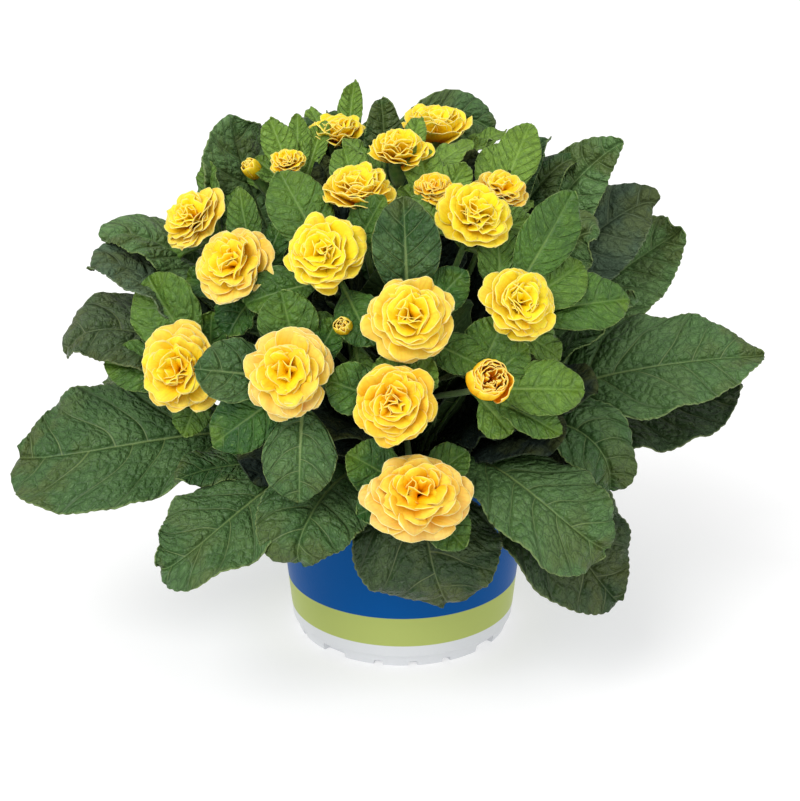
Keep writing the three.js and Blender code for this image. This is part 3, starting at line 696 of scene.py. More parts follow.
class Finish(Enum):
    """The finishes that the pieces choose from."""

    OLD_LEAF = LeafFinish("grown primrose leaf, upper side", "#34552a", "#4d6f3f", "#678a50", "#93a864")
    # A darker, browner leaf green, used for four of the big leaves.
    DARK_LEAF = LeafFinish("darker primrose leaf, upper side", "#2d4324", "#425735", "#586c43", "#87955e")
    DUSTY_LEAF = LeafFinish(
        "downy primrose leaf, upper side", "#455844", "#586e54", "#66815c", "#84956f", roughness=0.6, specular=0.2
    )
    # Painted shade: the leaves inside the crown take a dark grey-green in place of the leaf green, for the shade that
    # falls there.
    INNER_LEAF = LeafFinish(
        "inner primrose leaf, shaded", "#26322c", "#303e34", "#38463a", "#4c5a44", roughness=0.6, specular=0.1
    )
    UNDERSIDE = LeafFinish(
        "primrose leaf, underside", "#3d5530", "#4d6a38", "#5a7638", "#98a76e", roughness=0.6, specular=0.15,
        vein_share=0.6, furrow_shade_share=0.2, relief_depth=0.8,
    )
    YOUNG_LEAF = LeafFinish(
        "young primrose leaf, upper side", "#2c5224", "#3f6c2c", "#7a9e3c", "#93ab5e", olive="#5f7a22",
        midrib_share=0.32, midrib_width=0.6, vein_share=0.16, furrow_shade_share=0.32, cell=3.8, relief_depth=1.1,
    )
    STEM = StemFinish("primrose stalk", "#7f9148", "#466a28")
    PETAL = PetalFinish("double primrose petal", "#e87e00", "#ffe30c", "#ffb400", "#f3cf78", "#fff2b0")
    PRINT = PrintFinish()
    PEAT = PeatFinish()

    @property
    def material(self) -> bpy.types.Material:
        """The finish as a material, made once."""
        found = bpy.data.materials.get(self.value.name)
        return found or self.value.make()


# ---------------------------------------------------------------- leaves


@dataclass
class Blade:
    """One leaf: a quilted, veined and toothed blade on its stalk.

    The petiole is the stalk's share of the length, and stem_rows the share of the sheet's rows that it takes.
    A branch_share is the distance between side veins, in shares of the half width. The margin waves with a few
    slow waves along the blade and frills in two steps, and curls down by a share of the width.
    """

    spine: Spine
    side: Array
    half: float
    petiole: float = 0.26
    root_width: float = 2.4
    roll: float = 0.0
    fold: float = 6.0
    taper: float = 0.62
    wave: float = 1.6
    phase: float = 0.0
    tone: float = 0.0
    quilt: float = 1.0
    ruffle: float = 0.9
    tooth: float = 0.7
    tooth_step: float = 3.8
    branch_share: float = 0.58
    stem_rows: float = 0.08
    thickness: float = 0.55
    midrib_depth: float = 2.1
    curl: float = 0.12
    wave_turn: float = 23.0
    frill_steps: tuple[float, float] = (3.4, 1.9)

    def right_of(self, ahead: Array) -> Array:
        """The blade's own right where its spine runs ahead."""
        return unit(self.side - ahead * (ahead @ self.side)[:, None])

    def outline(self, share: Array) -> Array:
        """Half width at shares of the blade's length."""
        broadest = 1 / (1 + self.taper)
        peak = broadest * (1 - broadest) ** self.taper
        grown = share * np.maximum(1 - share, 0) ** self.taper / peak
        return self.root_width * (1 - share * share) + self.half * grown

    def shares(self, along: Array) -> tuple[Array, Array]:
        """Shares of the blade's length and of the whole length at places along the sheet."""
        # Rows lie closer towards the tip, and the last one stops just short of the point.
        blade = 1 - (1 - np.clip((along - self.stem_rows) / (1 - self.stem_rows), 0, 1)) ** 1.4
        blade = blade * 0.998
        whole = np.where(
            along < self.stem_rows,
            self.petiole * along / self.stem_rows,
            self.petiole + (1 - self.petiole) * blade,
        )
        return blade, whole

    def margin(self, along: Array) -> tuple[Array, Array, Array]:
        """The walk along the margin up to each place, and the margin's outward direction there.

        Args:
            along: Places along the sheet.

        Returns:
            Millimetres walked, and the direction's parts across and along.
        """
        dense = np.linspace(0, 1, 500)
        blade, whole = self.shares(dense)
        x, y = self.outline(blade), whole * self.spine.length
        dx, dy = np.gradient(x), np.gradient(y)
        size = np.hypot(dx, dy) + 1e-9
        walked = np.cumsum(size)
        parts = (walked, dy / size, -dx / size)
        return tuple(np.interp(along, dense, part) for part in parts)

    def surface(self, across: Array, along: Array) -> Shaped:
        """The blade's middle surface.

        Args:
            across: Shares from the right edge to the left one, so that the sheet's faces look up.
            along: Shares from the foot of the stalk to the tip.

        Returns:
            Points in millimetres, and what the finish reads of each.
        """
        u = 1 - across * 2
        blade, whole = self.shares(along)
        centre, ahead = self.spine.at(whole)
        right = self.right_of(ahead)
        up = np.cross(ahead, right)
        roll = (math.radians(self.roll) * smooth(whole, 0, self.petiole + 0.25))[:, None]
        tilted_right = right * np.cos(roll) + up * np.sin(roll)
        tilted_up = up * np.cos(roll) - right * np.sin(roll)

        width = self.outline(blade)
        grown = np.minimum(1, blade * 5)
        walked, out_x, out_y = self.margin(along)
        hand = np.sign(u)
        bite = np.abs(np.sin(math.pi * walked / self.tooth_step + hand)) - 0.6
        bite = self.tooth * grown * (bite + 0.7 * np.sin(walked / self.tooth_step * 0.45 + self.phase + hand))
        x = width * u + hand * out_x * bite * np.abs(u) ** 5
        forward = out_y * bite * np.abs(u) ** 5
        y = whole * self.spine.length + forward
        branch, straight = self.veins(x, y)
        swell = self.quilt * grown * self.swell(x, branch, straight) * (1 - 0.3 * np.abs(u) ** 4)

        fold = math.tan(math.radians(self.fold)) * np.minimum(1, blade * 3)
        height = width * fold * np.abs(u) - self.curl * width * u * u
        height += self.wave * np.sin(blade * self.wave_turn + self.phase) * np.minimum(1, blade * 2.5) * u * np.abs(u)
        slow, quick = (walked / step for step in self.frill_steps)
        frill = np.sin(slow + self.phase * 2 + hand) + 0.35 * np.sin(quick + self.phase * 5 - hand)
        height += self.ruffle * grown * frill * np.abs(u) ** 3 + swell
        points = centre + tilted_right * x[:, None] + tilted_up * height[:, None] + ahead * forward[:, None]
        looks = {
            "blade_mm": np.column_stack((x, y, np.full_like(x, self.phase * 10))),
            "veins": np.column_stack((branch, 0.4 * straight + 0.6 * y, np.zeros_like(y))),
            "place": np.column_stack((blade, np.abs(u), np.full_like(x, self.tone))),
        }
        return points, looks

    def veins(self, x: Array, y: Array) -> tuple[Array, Array]:
        """The side veins as a smooth coordinate, whole numbers of which are veins.

        Args:
            x: Millimetres across the blade from its midrib.
            y: Millimetres along it.

        Returns:
            The coordinate, and the millimetres along the blade once the veins' lean is taken out.
        """
        away = np.abs(x)
        lean = 0.45 * away + 0.5 * away * away / self.half - 1.3 * np.sin(away * 0.23 + self.phase)
        straight = y - lean
        branch = straight / (self.branch_share * self.half) + 0.16 * np.sin(y * 0.13 + self.phase)
        return branch, straight

    def swell(self, x: Array, branch: Array, straight: Array) -> Array:
        """How far the tissue puffs up between its veins, below 0 in the furrows."""
        side = branch + 0.5 * (x > 0)
        side = smooth(np.abs(side - np.round(side)), 0, 0.26)
        lumps = np.sin(x * 0.62 + 2 * np.sin(straight * 0.3)) * np.sin(straight * 0.7 + self.phase + np.sin(x * 0.4))
        raised = 0.9 * side + 0.32 * lumps * side + 1.2
        return raised * (1 - np.exp(-((x / 2.2) ** 2))) - self.midrib_depth

    def rib(self, name: str, width: float, sides: int, rows: int) -> Piece:
        """Models the stalk and the raised rib under the blade, tapering to the tip.

        Args:
            name: The rib's name.
            width: Its radius at its foot.
            sides: Faces round it.
            rows: Faces along it.

        Returns:
            The closed rib.
        """
        stations = np.linspace(0, 1, 40)
        centre, ahead = self.spine.at(stations)
        right = self.right_of(ahead)
        blade = np.clip((stations - self.petiole) / (1 - self.petiole), 0, 1)
        sunk = self.midrib_depth * self.quilt * np.minimum(1, blade * 5)
        depth = width * (1 - 0.8 * stations**0.7) * 0.7 + sunk
        path = centre - np.cross(ahead, right) * depth[:, None]

        def surface(across: Array, along: Array) -> Shaped:
            """The rib's skin; its first and last rows close to a point."""
            middle, first, forward = (
                np.column_stack([np.interp(along * 0.9, stations, line[:, i]) for i in range(3)])
                for line in (path, right, ahead)
            )
            second = unit(np.cross(first, forward))
            inside = ((along > 0.01) & (along < 0.99)).astype(float)
            reach = (width * (1 - 0.8 * along**0.7) * inside)[:, None]
            points = middle + reach * ring(across, first, 0.85 * second)
            return points, {"blade_mm": np.column_stack((across * 8, along * self.spine.length, 0.4 + along))}

        piece = shape(new_sheet(name, sides, rows), surface)
        weld(piece)
        return piece

    def build(self, name: str, columns: int, rows: int, upper: Finish, rib_width: float) -> Piece:
        """Models the leaf.

        Args:
            name: The piece's name.
            columns: Faces across the blade.
            rows: Faces along it.
            upper: The finish of the upper side.
            rib_width: The stalk's radius at its foot.

        Returns:
            The blade with its stalk, joined.
        """
        sheet = shape(new_sheet(name, columns, rows), self.surface)
        for finish in (upper, Finish.UNDERSIDE):
            sheet.data.materials.append(finish.material)
        thicken(sheet, self.thickness, backed=True)
        rib = self.rib(f"{name}_rib", rib_width, 6 + columns // 10, 11 + rows // 4)
        rib.data.materials.append(Finish.STEM.material)
        return join([sheet, rib], name)


class Rank(Enum):
    """Where a big leaf stands in the soil: its foot's reach and height."""

    LOW = (28.0, 81.0)
    MIDDLE = (22.5, 81.0)
    HIGH = (17.0, 81.0)


@dataclass(frozen=True)
class LeafPlan:
    """A big leaf: it starts at azimuth root, rises, leans towards via and ends at tip.

    Upturn is how far its right-hand side, which lies level otherwise, points up.
    """

    name: str
    rank: Rank
    root: float
    rise: tuple[float, float]
    via: tuple[float, float, float]
    tip: tuple[float, float, float]
    half: float
    roll: float
    fold: float
    taper: float = 0.62
    tone: float = 0.0
    finish: Finish = Finish.OLD_LEAF
    upturn: float = 0.0


LEAVES = (
    LeafPlan("left_broad", Rank.LOW, -80, (52, 118), (-73, 145, 97), (-83, 173, 91), 32, -32, 8, 0.5, tone=0.25),
    LeafPlan("left_lower", Rank.LOW, -44, (50, 122), (-38.5, 140, 80), (-47, 140, 71), 24.5, -6, 6, tone=0.3),
    LeafPlan("front_left", Rank.LOW, -22, (50, 116), (-23, 128, 96), (-23, 109, 75), 21, -12, 5, tone=0.2),
    LeafPlan("front", Rank.LOW, 10, (46, 118), (3, 122, 88), (12, 92, 51), 30, 0, -6, finish=Finish.DARK_LEAF),
    LeafPlan("front_right", Rank.MIDDLE, 32, (46, 124), (30, 127, 100), (44, 124, 76), 25, 4, 6, tone=0.45),
    LeafPlan(
        "right_low", Rank.LOW, 56, (50, 126), (39, 115, 73), (50, 122, 47), 28, 8, 5, 0.72, finish=Finish.DARK_LEAF
    ),
    LeafPlan("right_folded", Rank.MIDDLE, 62, (46, 126), (55, 113, 130), (61, 104, 86), 16, 22, 16, tone=0.1),
    LeafPlan(
        "right_under", Rank.LOW, 78, (52, 116), (93, 126, 94), (93, 154, 114), 23, 26, 6, 0.75,
        finish=Finish.DARK_LEAF,
    ),
    LeafPlan("right_broad", Rank.MIDDLE, 83, (46, 126), (86, 132, 134), (89, 162, 133), 28, 28, 8, 0.85, tone=0.45),
    LeafPlan("right_mid", Rank.MIDDLE, 100, (44, 108), (95, 94, 150), (94, 104, 157), 15, -4, 8, tone=0.35),
    LeafPlan("right_upper", Rank.HIGH, 90, (34, 130), (91, 77, 206), (89, 86, 186), 19, 40, 6, tone=0.6),
    LeafPlan("right_back", Rank.MIDDLE, 112, (46, 130), (121, 148, 163), (114, 141, 171), 23, 36, 6, tone=0.95),
    LeafPlan(
        "right_grey", Rank.HIGH, 112, (34, 142), (116, 118, 196), (112, 126, 188), 22, 36, 6, finish=Finish.DUSTY_LEAF
    ),
    LeafPlan("right_pointed", Rank.HIGH, 130, (32, 140), (118, 88, 210), (111, 106, 219), 19, 36, 8, 0.8, tone=0.8),
    LeafPlan("left_upper", Rank.MIDDLE, -106, (42, 138), (-95, 120, 205), (-93, 133, 182), 20, -14, 6, tone=0.75),
    LeafPlan(
        "left_middle", Rank.MIDDLE, -90, (46, 122), (-88, 124, 195), (-87, 138, 174), 22, -10, 6, tone=0.3,
        finish=Finish.DUSTY_LEAF,
    ),
    LeafPlan(
        "left_side", Rank.MIDDLE, -76, (46, 124), (-85, 143, 174), (-85, 150, 135), 24, -22, 6, 0.72, 0.5,
        Finish.DARK_LEAF,
    ),
    LeafPlan(
        "back_left_tall", Rank.HIGH, -112, (38, 136), (-117.4, 92.7, 217.5), (-119.2, 84.2, 229), 27, -16, 6, 0.5,
        tone=0.8,
    ),
    LeafPlan(
        "back_tall", Rank.HIGH, -178, (42, 138), (179, 70, 249), (151, 91, 213), 18.5, 0, 4, tone=0.4, upturn=1.0
    ),
    LeafPlan("back_right_tall", Rank.HIGH, 158, (40, 132), (150, 82, 204), (140, 104, 204), 19, 10, 8, tone=0.4),
    LeafPlan("back_right_low", Rank.LOW, 124, (52, 116), (124, 130, 108), (122, 154, 84), 29, 8, 8, tone=0.2),
    LeafPlan("back_low", Rank.LOW, 154, (52, 118), (154, 128, 106), (156, 148, 76), 29, -6, 8, tone=0.15),
    LeafPlan("back_middle", Rank.MIDDLE, 172, (46, 126), (174, 118, 140), (176, 144, 98), 27, 4, 8, tone=0.3),
    LeafPlan("back_left_low", Rank.LOW, -156, (52, 116), (-154, 130, 104), (-150, 152, 78), 29, 6, 8, tone=0.1),
    LeafPlan("left_back_low", Rank.LOW, -116, (52, 116), (-118, 130, 112), (-114, 158, 92), 30, -12, 8, tone=0.2),
    LeafPlan(
        "back_left_middle", Rank.MIDDLE, -134, (46, 128), (-136, 116, 154), (-134, 142, 124), 25, -6, 8, tone=0.25
    ),
)


@dataclass
class Rosette:
    """The big leaves that spread from the soil round the plant."""

    plans: tuple[LeafPlan, ...] = LEAVES
    columns: int = 40
    rows: int = 84
    rib_width: float = 1.9

    def blade(self, plan: LeafPlan, number: int) -> Blade:
        """The blade of one planned leaf."""
        angle = math.radians(plan.via[0])
        foot, rise = polar(plan.root, *plan.rank.value), polar(plan.root, *plan.rise)
        return Blade(
            spine=Spine((foot, rise, polar(*plan.via), polar(*plan.tip))),
            side=np.array((math.cos(angle), math.sin(angle), plan.upturn)),
            half=plan.half,
            roll=plan.roll,
            fold=plan.fold,
            taper=plan.taper,
            phase=number * 1.9,
            tone=plan.tone,
        )

    def build(self) -> None:
        """Models every leaf in place of its solid."""
        for number, plan in enumerate(self.plans):
            name = f"{plan.name}_leaf"
            leaf = self.blade(plan, number).build(name, self.columns, self.rows, plan.finish, self.rib_width)
            stand_in(leaf, f"leaf_{plan.name}")


# ---------------------------------------------------------------- flowers


class Stage(Enum):
    """How far a flower has opened."""

    OPEN = "open"
    HALF = "half"
    BUD = "bud"


@dataclass(frozen=True)
class BloomPlan:
    """A flower: the centre of its base, which way it looks, its radius, stage and collar leaves.

    Each collar leaf is (clock angle seen from in front, length, half width, lift). Age, warmth and fresh run
    from 0 to 1: how faded the petals are, how golden, and how bright the collar leaves.
    """

    azimuth: float
    reach: float
    height: float
    tilt: float
    facing: float
    radius: float
    stage: Stage
    collar: tuple[tuple[float, float, float, float], ...]
    age: float
    warmth: float
    fresh: float
    squash: float = 1.0


OPEN, HALF, BUD = Stage.OPEN, Stage.HALF, Stage.BUD
BLOOMS = (
    BloomPlan(
        2, 80, 176, 58, 2, 20, OPEN,
        ((44, 33, 8.5, 0.3), (-2, 51, 13.5, 0.7), (118, 34, 8, 0.2)),
        0.6, 0.25, 0.06,
    ),
    BloomPlan(
        -29, 63, 194, 46, -24, 19, OPEN,
        ((-42, 48, 12.5, 0.7), (27, 35, 9, 0.9), (-118, 40, 10, 0.1), (138, 38, 10, 0.1)),
        0.2, 0, 0.34,
    ),
    BloomPlan(
        -2, 98, 147, 66, -4, 18.5, OPEN,
        ((-72, 29, 10, 0.2), (38, 23, 8, 0.4), (-12, 20, 7, 0.4)),
        0.25, 0.6, 0.31,
    ),
    BloomPlan(
        3, 104, 107.5, 50, 4, 23.5, OPEN,
        ((-62, 30, 11, 0.5), (56, 26, 8, 0.4), (142, 31, 9, 0), (-112, 25, 8, 0)),
        1, 0.7, 0.22, 0.82,
    ),
    BloomPlan(
        -29, 94, 153, 62, -12, 20.5, OPEN,
        ((-90, 43, 13.5, 0.5), (-18, 36, 12, 0.5), (26, 28, 7, 0.3), (176, 50, 15, 0), (-130, 46, 12, 0)),
        1, 0.35, 0.12,
    ),
    BloomPlan(
        -66, 102, 139.5, 66, -22, 20.5, OPEN,
        ((-92, 46, 10.5, 0.3), (-166, 28, 7.5, 0.1), (-2, 26, 7.5, 0.4), (-40, 49, 16, 0.3)),
        0.5, 0.3, 0.31,
    ),
    BloomPlan(
        -64, 77, 182, 52, -36, 19.5, OPEN,
        ((-26, 40, 7, 0.7), (6, 30, 7, 0.3), (-98, 36, 8, 0.1), (-168, 24, 10, 0)),
        0.8, 0.3, 0.16,
    ),
    BloomPlan(
        -89, 88.5, 192.5, 46, -50, 17, OPEN,
        ((-42, 41, 5.5, 0.5), (-16, 27, 6, 0.2), (-106, 35, 9, 0.1), (84, 26, 7, 0.4)),
        0.5, 0.1, 0.31,
    ),
    BloomPlan(
        34, 82, 178, 54, 28, 18, OPEN,
        ((42, 57, 11, 0.7), (10, 38, 9, 0.4), (70, 42, 12, 0.4), (94, 56, 12, 0.3), (134, 30, 8, 0)),
        0.3, 0, 0.45,
    ),
    BloomPlan(
        34, 52, 206, 38, 18, 18, OPEN,
        ((76, 34, 6.5, 0.1), (-38, 29, 8, 0.3), (128, 25, 8, 0)),
        0.2, 0, 0.8,
    ),
    BloomPlan(
        -33, 34, 210.5, 14, -6, 18, OPEN,
        ((-18, 38, 8, 0.9), (110, 30, 8, 0.5), (-110, 28, 8, 0.5)),
        0.3, 0.1, 0.6,
    ),
    BloomPlan(
        -58, 2, 220.5, 12, 0, 16, OPEN,
        ((-66, 20, 7, 1.3), (16, 36, 5, 0.9), (-46, 32, 7, 0.8), (60, 37, 8, 0.7)),
        0.15, 0.1, 0.8,
    ),
    BloomPlan(
        -139, 44, 219.5, 10, -20, 15, OPEN,
        ((-8, 32, 5, 1.8), (22, 32, 6, 1.1), (-44, 34, 6, 1)),
        0.1, 0.1, 0.8,
    ),
    BloomPlan(
        163, 52.5, 215, 2, 10, 20, OPEN,
        ((66, 39, 6, 0.6), (84, 26, 7, 1)),
        0.3, 0, 0.7,
    ),
    BloomPlan(
        84.5, 42, 205.5, 22, 40, 13.5, OPEN,
        ((42, 35, 11, 1), (54, 44, 9.5, 1.2), (22, 23, 5, 0.4), (80, 27, 6, 0.2)),
        0.6, 0.3, 1,
    ),
    BloomPlan(
        30.5, 26, 213, 32, 6, 9.5, OPEN,
        ((-4, 30, 8, 0.8), (38, 27, 6.5, 0.7), (-34, 18, 7, 0.4)),
        0.1, 0.6, 0.9,
    ),
    BloomPlan(
        -101, 50.5, 215, 22, -20, 9.5, OPEN,
        ((-38, 32, 7, 1.2), (6, 32, 5, 1), (-16, 32, 5, 1.2), (-64, 26, 6.5, 0.6)),
        0.1, 0.2, 0.8,
    ),
    BloomPlan(
        20, 96, 152, 56, 16, 10.5, HALF,
        ((30, 30, 12, 0.5), (60, 28, 7, 0.4), (98, 45, 11.5, 0.2), (148, 23, 9.5, 0), (124, 40, 7.5, 0)),
        0, 1, 0.44,
    ),
    BloomPlan(
        -19, 72, 167.5, 55, -14, 5, BUD,
        ((60, 20, 6, 0.3), (-78, 22, 7, 0.2), (160, 20, 6, 0.2)),
        0, 0.5, 0.31,
    ),
    BloomPlan(
        -109.5, 67.5, 207, 40, -50, 5, BUD,
        ((-68, 34, 5, 0.3), (90, 22, 6, 0.3)),
        0, 0.4, 0.31,
    ),
    BloomPlan(
        142, 92, 158, 56, 142, 19, OPEN,
        ((-80, 34, 11, 0.3), (10, 42, 13, 0.3), (100, 38, 12, 0.2)),
        0.4, 0.2, 0.25,
    ),
    BloomPlan(
        -166, 92, 168, 54, -166, 19, OPEN,
        ((-90, 38, 12, 0.3), (20, 42, 13, 0.3), (110, 38, 12, 0.1)),
        0.3, 0.2, 0.25,
    ),
    BloomPlan(
        -134, 94, 162, 56, -134, 18, OPEN,
        ((-100, 38, 12, 0.2), (0, 42, 13, 0.3), (90, 36, 12, 0.2)),
        0.5, 0.2, 0.25,
    ),
)


@dataclass(frozen=True)
class Whorl:
    """A ring of petals, in shares of the bloom's radius.

    A petal leaves at an angle of rise and ends at one of fall. Age is a share of the bloom's own.
    """

    count: int
    core: float
    height: float
    length: float
    rise: float
    fall: float
    half: float
    cup: float
    crumple: float
    age: float


WHORLS = {
    Stage.OPEN: (
        Whorl(5, 0.12, 0.00, 0.86, 22, -10, 0.58, 0.04, 0.03, 1.0),
        Whorl(6, 0.12, 0.05, 0.83, 34, -2, 0.51, 0.08, 0.04, 0.8),
        Whorl(5, 0.11, 0.10, 0.77, 50, 0, 0.48, 0.12, 0.06, 0.5),
        Whorl(5, 0.10, 0.15, 0.71, 66, 0, 0.46, 0.16, 0.08, 0.3),
        Whorl(5, 0.08, 0.19, 0.61, 78, 4, 0.40, 0.20, 0.10, 0.1),
        Whorl(4, 0.05, 0.22, 0.54, 88, 16, 0.34, 0.26, 0.12, 0.0),
        Whorl(3, 0.02, 0.24, 0.47, 96, 40, 0.28, 0.34, 0.12, 0.0),
    ),
    Stage.HALF: (
        Whorl(5, 0.25, 0.00, 1.56, 20, 122, 0.80, 0.10, 0.03, 0.3),
        Whorl(5, 0.21, 0.04, 1.50, 26, 116, 0.70, 0.10, 0.04, 0.1),
        Whorl(5, 0.17, 0.08, 1.42, 34, 112, 0.56, 0.10, 0.05, 0.0),
        Whorl(4, 0.12, 0.12, 1.34, 46, 108, 0.46, 0.12, 0.06, 0.0),
        Whorl(4, 0.07, 0.15, 1.26, 62, 100, 0.30, 0.14, 0.07, 0.0),
    ),
    Stage.BUD: (
        Whorl(4, 0.30, 0.00, 2.20, 45, 118, 0.72, 0.15, 0.02, 0.0),
        Whorl(4, 0.20, 0.10, 2.05, 58, 112, 0.52, 0.15, 0.03, 0.0),
        Whorl(3, 0.08, 0.20, 1.90, 76, 98, 0.30, 0.20, 0.04, 0.0),
    ),
}


@dataclass
class Bloom:
    """One double flower with its calyx, stalk and collar leaves.

    A flower that leans less than upright looks up. A collar leaf is grown, and not young, when it is wider than
    grown_half and duller than grown_fresh.
    """

    plan: BloomPlan
    number: int
    columns: int = 10
    rows: int = 8
    seed: int = 400
    petal_thickness: float = 0.3
    upright: float = 26.0
    stalk_radius: float = 1.35
    stalk_gap: float = 0.35
    calyx_foot: float = 1.3
    calyx_radius: float = 3.7
    calyx_length: float = 11.0
    calyx_thickness: float = 0.5
    collar_depth: float = 14.2
    grown_half: float = 13.0
    grown_fresh: float = 0.19

    def __post_init__(self) -> None:
        """Finds the bloom's own axes."""
        plan = self.plan
        tilt = math.radians(plan.tilt)
        self.origin = polar(plan.azimuth, plan.reach, plan.height)
        self.ahead = polar(plan.facing, math.sin(tilt), math.cos(tilt))
        self.right = unit(np.cross(UP, self.ahead))
        self.up = np.cross(self.ahead, self.right)

    @property
    def name(self) -> str:
        """The bloom's name."""
        return f"bloom_{self.number + 1:02d}"

    def to_plant(self, points: Array) -> Array:
        """Moves points from the bloom's own axes to the plant."""
        return self.origin + points * (1, self.plan.squash, 1) @ np.array((self.right, self.up, self.ahead))

    def petal(self, whorl: Whorl, angle: float, rng: np.random.Generator) -> Surface:
        """The surface of one petal.

        Args:
            whorl: The ring that it stands in.
            angle: Where it stands in the ring.
            rng: Makes each petal differ a little.

        Returns:
            A surface for shape().
        """
        radius = self.plan.radius
        is_open = self.plan.stage is Stage.OPEN
        loose, wrap = (1.0, 0.0) if is_open else (0.3, 1.0)
        length = whorl.length * radius * (1 + loose * rng.uniform(-0.12, 0.06))
        half = whorl.half * radius * rng.uniform(0.86, 1.1)
        wild = loose * (1 + 8 * whorl.crumple)
        lift, twist, bend, sway = rng.normal(0, (4 * wild, 0.14 * wild, 8 * wild, 0.08 * wild))
        # Fresh flowers and upright ones stay hollow like a bowl.
        bowl = 16 * (1 - self.plan.age) + 1.2 * max(0.0, 30 - self.plan.tilt) if is_open else 0.0
        notch, phase, second = rng.uniform((0.04, 0, 0), (0.2, 6.3, 6.3))
        waves = rng.uniform(0.8, 1.8)
        outward = np.array((math.cos(angle), math.sin(angle), 0.0))
        sideways = np.array((-math.sin(angle), math.cos(angle), 0.0))
        age = self.plan.age * whorl.age
        core = whorl.core * radius * (1 + loose * rng.uniform(-0.5, 0.4))

        def surface(across: Array, along: Array) -> Shaped:
            """The petal: it leaves its core at the rise, arches over to the fall, and is cupped and crumpled."""
            u = across * 2 - 1
            tip = 1 - (1 - 0.7 * wrap) * 0.44 * (1 - np.sqrt(1 - 0.9 * u * u)) - notch * np.exp(-((u / 0.24) ** 2))
            share = along * tip
            steps = np.linspace(0, 1, 60)
            first, last = whorl.rise + lift + bowl * 0.4, whorl.fall + bend + bowl
            slope = np.radians(first + (last - first) * steps)
            reach, climb = (
                np.concatenate(([0.0], np.cumsum(turned[1:]))) * length / (len(steps) - 1)
                for turned in (np.cos(slope), np.sin(slope))
            )
            here = np.interp(share, steps, slope)
            reached = (core + np.interp(share, steps, reach)) * (1 - 0.05 * wrap * u)
            width = half * (0.16 + 0.84 * np.sin(np.minimum(share / 0.62, 1.0) * math.pi / 2) ** 0.9)
            height = whorl.cup * half * u * u * share - 0.04 * half * np.exp(-((u / 0.2) ** 2)) * share
            height += whorl.crumple * radius * share**2 * np.sin(math.pi * waves * u + phase)
            height += 0.055 * radius * share**4 * np.sin(7 * u + second)
            height += math.tan(twist) * width * u
            aside = width * u + sway * length * share**2
            swing = (wrap * aside / np.maximum(reached, 0.4 * radius))[:, None]
            out = outward * np.cos(swing) + sideways * np.sin(swing)
            normal = out * -np.sin(here)[:, None] + UP * np.cos(here)[:, None]
            points = out * reached[:, None] + sideways * ((1 - wrap) * aside)[:, None] + normal * height[:, None]
            points = points + UP * (whorl.height * radius + np.interp(share, steps, climb))[:, None]
            rim = np.minimum((1 - np.abs(u)) * width + 3 * (share < 0.3), (1 - along) * length)
            looks = {
                "petal": np.column_stack((share, rim, np.full_like(u, age))),
                "petal_mm": np.column_stack((width * u, share * length, np.full_like(u, phase * 9))),
                "flower": np.tile((self.plan.warmth, 0.0, 0.0), (len(u), 1)),
            }
            return self.to_plant(points), looks

        return surface

    def petals(self, master: Piece) -> Piece:
        """Models the ruff of petals.

        Args:
            master: A flat petal, which every petal is a copy of.

        Returns:
            The petals, joined.
        """
        rng = np.random.default_rng(self.seed + self.number)
        made = []
        start = rng.uniform(0, 6.3)
        whorls = WHORLS[self.plan.stage]
        if self.plan.tilt < self.upright:
            # A flower that looks up keeps its heart low, so it goes without the tallest inner ring.
            whorls = whorls[:5] + whorls[6:]
        for level, whorl in enumerate(whorls):
            for i in range(whorl.count):
                angle = start + (i + 0.5 * (level % 2)) * 2 * math.pi / whorl.count + rng.normal(0, 0.16)
                made.append(shape(copy_of(master, f"petal_{level}_{i}"), self.petal(whorl, angle, rng)))
        whole = join(made, f"{self.name}_petal_ruff")
        whole.data.materials.append(Finish.PETAL.material)
        thicken(whole, self.petal_thickness)
        return whole

    def stalk_spine(self, shoot: "ShootPlan") -> Spine:
        """The curve of the stalk from its shoot to the flower."""
        away = self.origin * (1, 1, 0) - polar(shoot.azimuth, shoot.spread_from, 0)
        foot = shoot.at(shoot.stalks) + away * shoot.spread
        end = self.origin - self.ahead * self.stalk_gap
        climb = float(np.linalg.norm(end - foot))
        arrive = unit((end - foot) / climb + self.ahead)
        return Spine((foot, foot + UP * climb * 0.3, end - arrive * climb * 0.3, end))

    def stalk(self, shoot: "ShootPlan") -> list[Piece]:
        """Models the stalk with its ribbed calyx, and the collar leaves that grow from it.

        Args:
            shoot: The shoot that the stalk grows from.

        Returns:
            The separate pieces.
        """
        spine = self.stalk_spine(shoot)
        length = spine.length
        size = min(1.0, self.plan.radius / 7) if self.plan.stage is Stage.BUD else 1.0

        def stem_radius(share: Array) -> Array:
            """A little thicker where the stalk leaves the shoot."""
            return self.stalk_radius + 0.25 * np.exp(-share * 8)

        stem = tube(f"{self.name}_stalk", spine, stem_radius, 8, 26)
        stem.data.materials.append(Finish.STEM.material)
        calyx = self.calyx(spine, length, size)
        leaves = [self.collar_leaf(spine, length, entry, i) for i, entry in enumerate(self.plan.collar)]
        return [stem, calyx, *leaves]

    def calyx(self, spine: Spine, length: float, size: float) -> Piece:
        """Models the five-toothed green cup under the petals.

        Args:
            spine: The stalk's curve.
            length: The stalk's length.
            size: The cup's width and teeth, as a share of an open flower's.

        Returns:
            The cup.
        """
        start = 1 - self.calyx_length / length

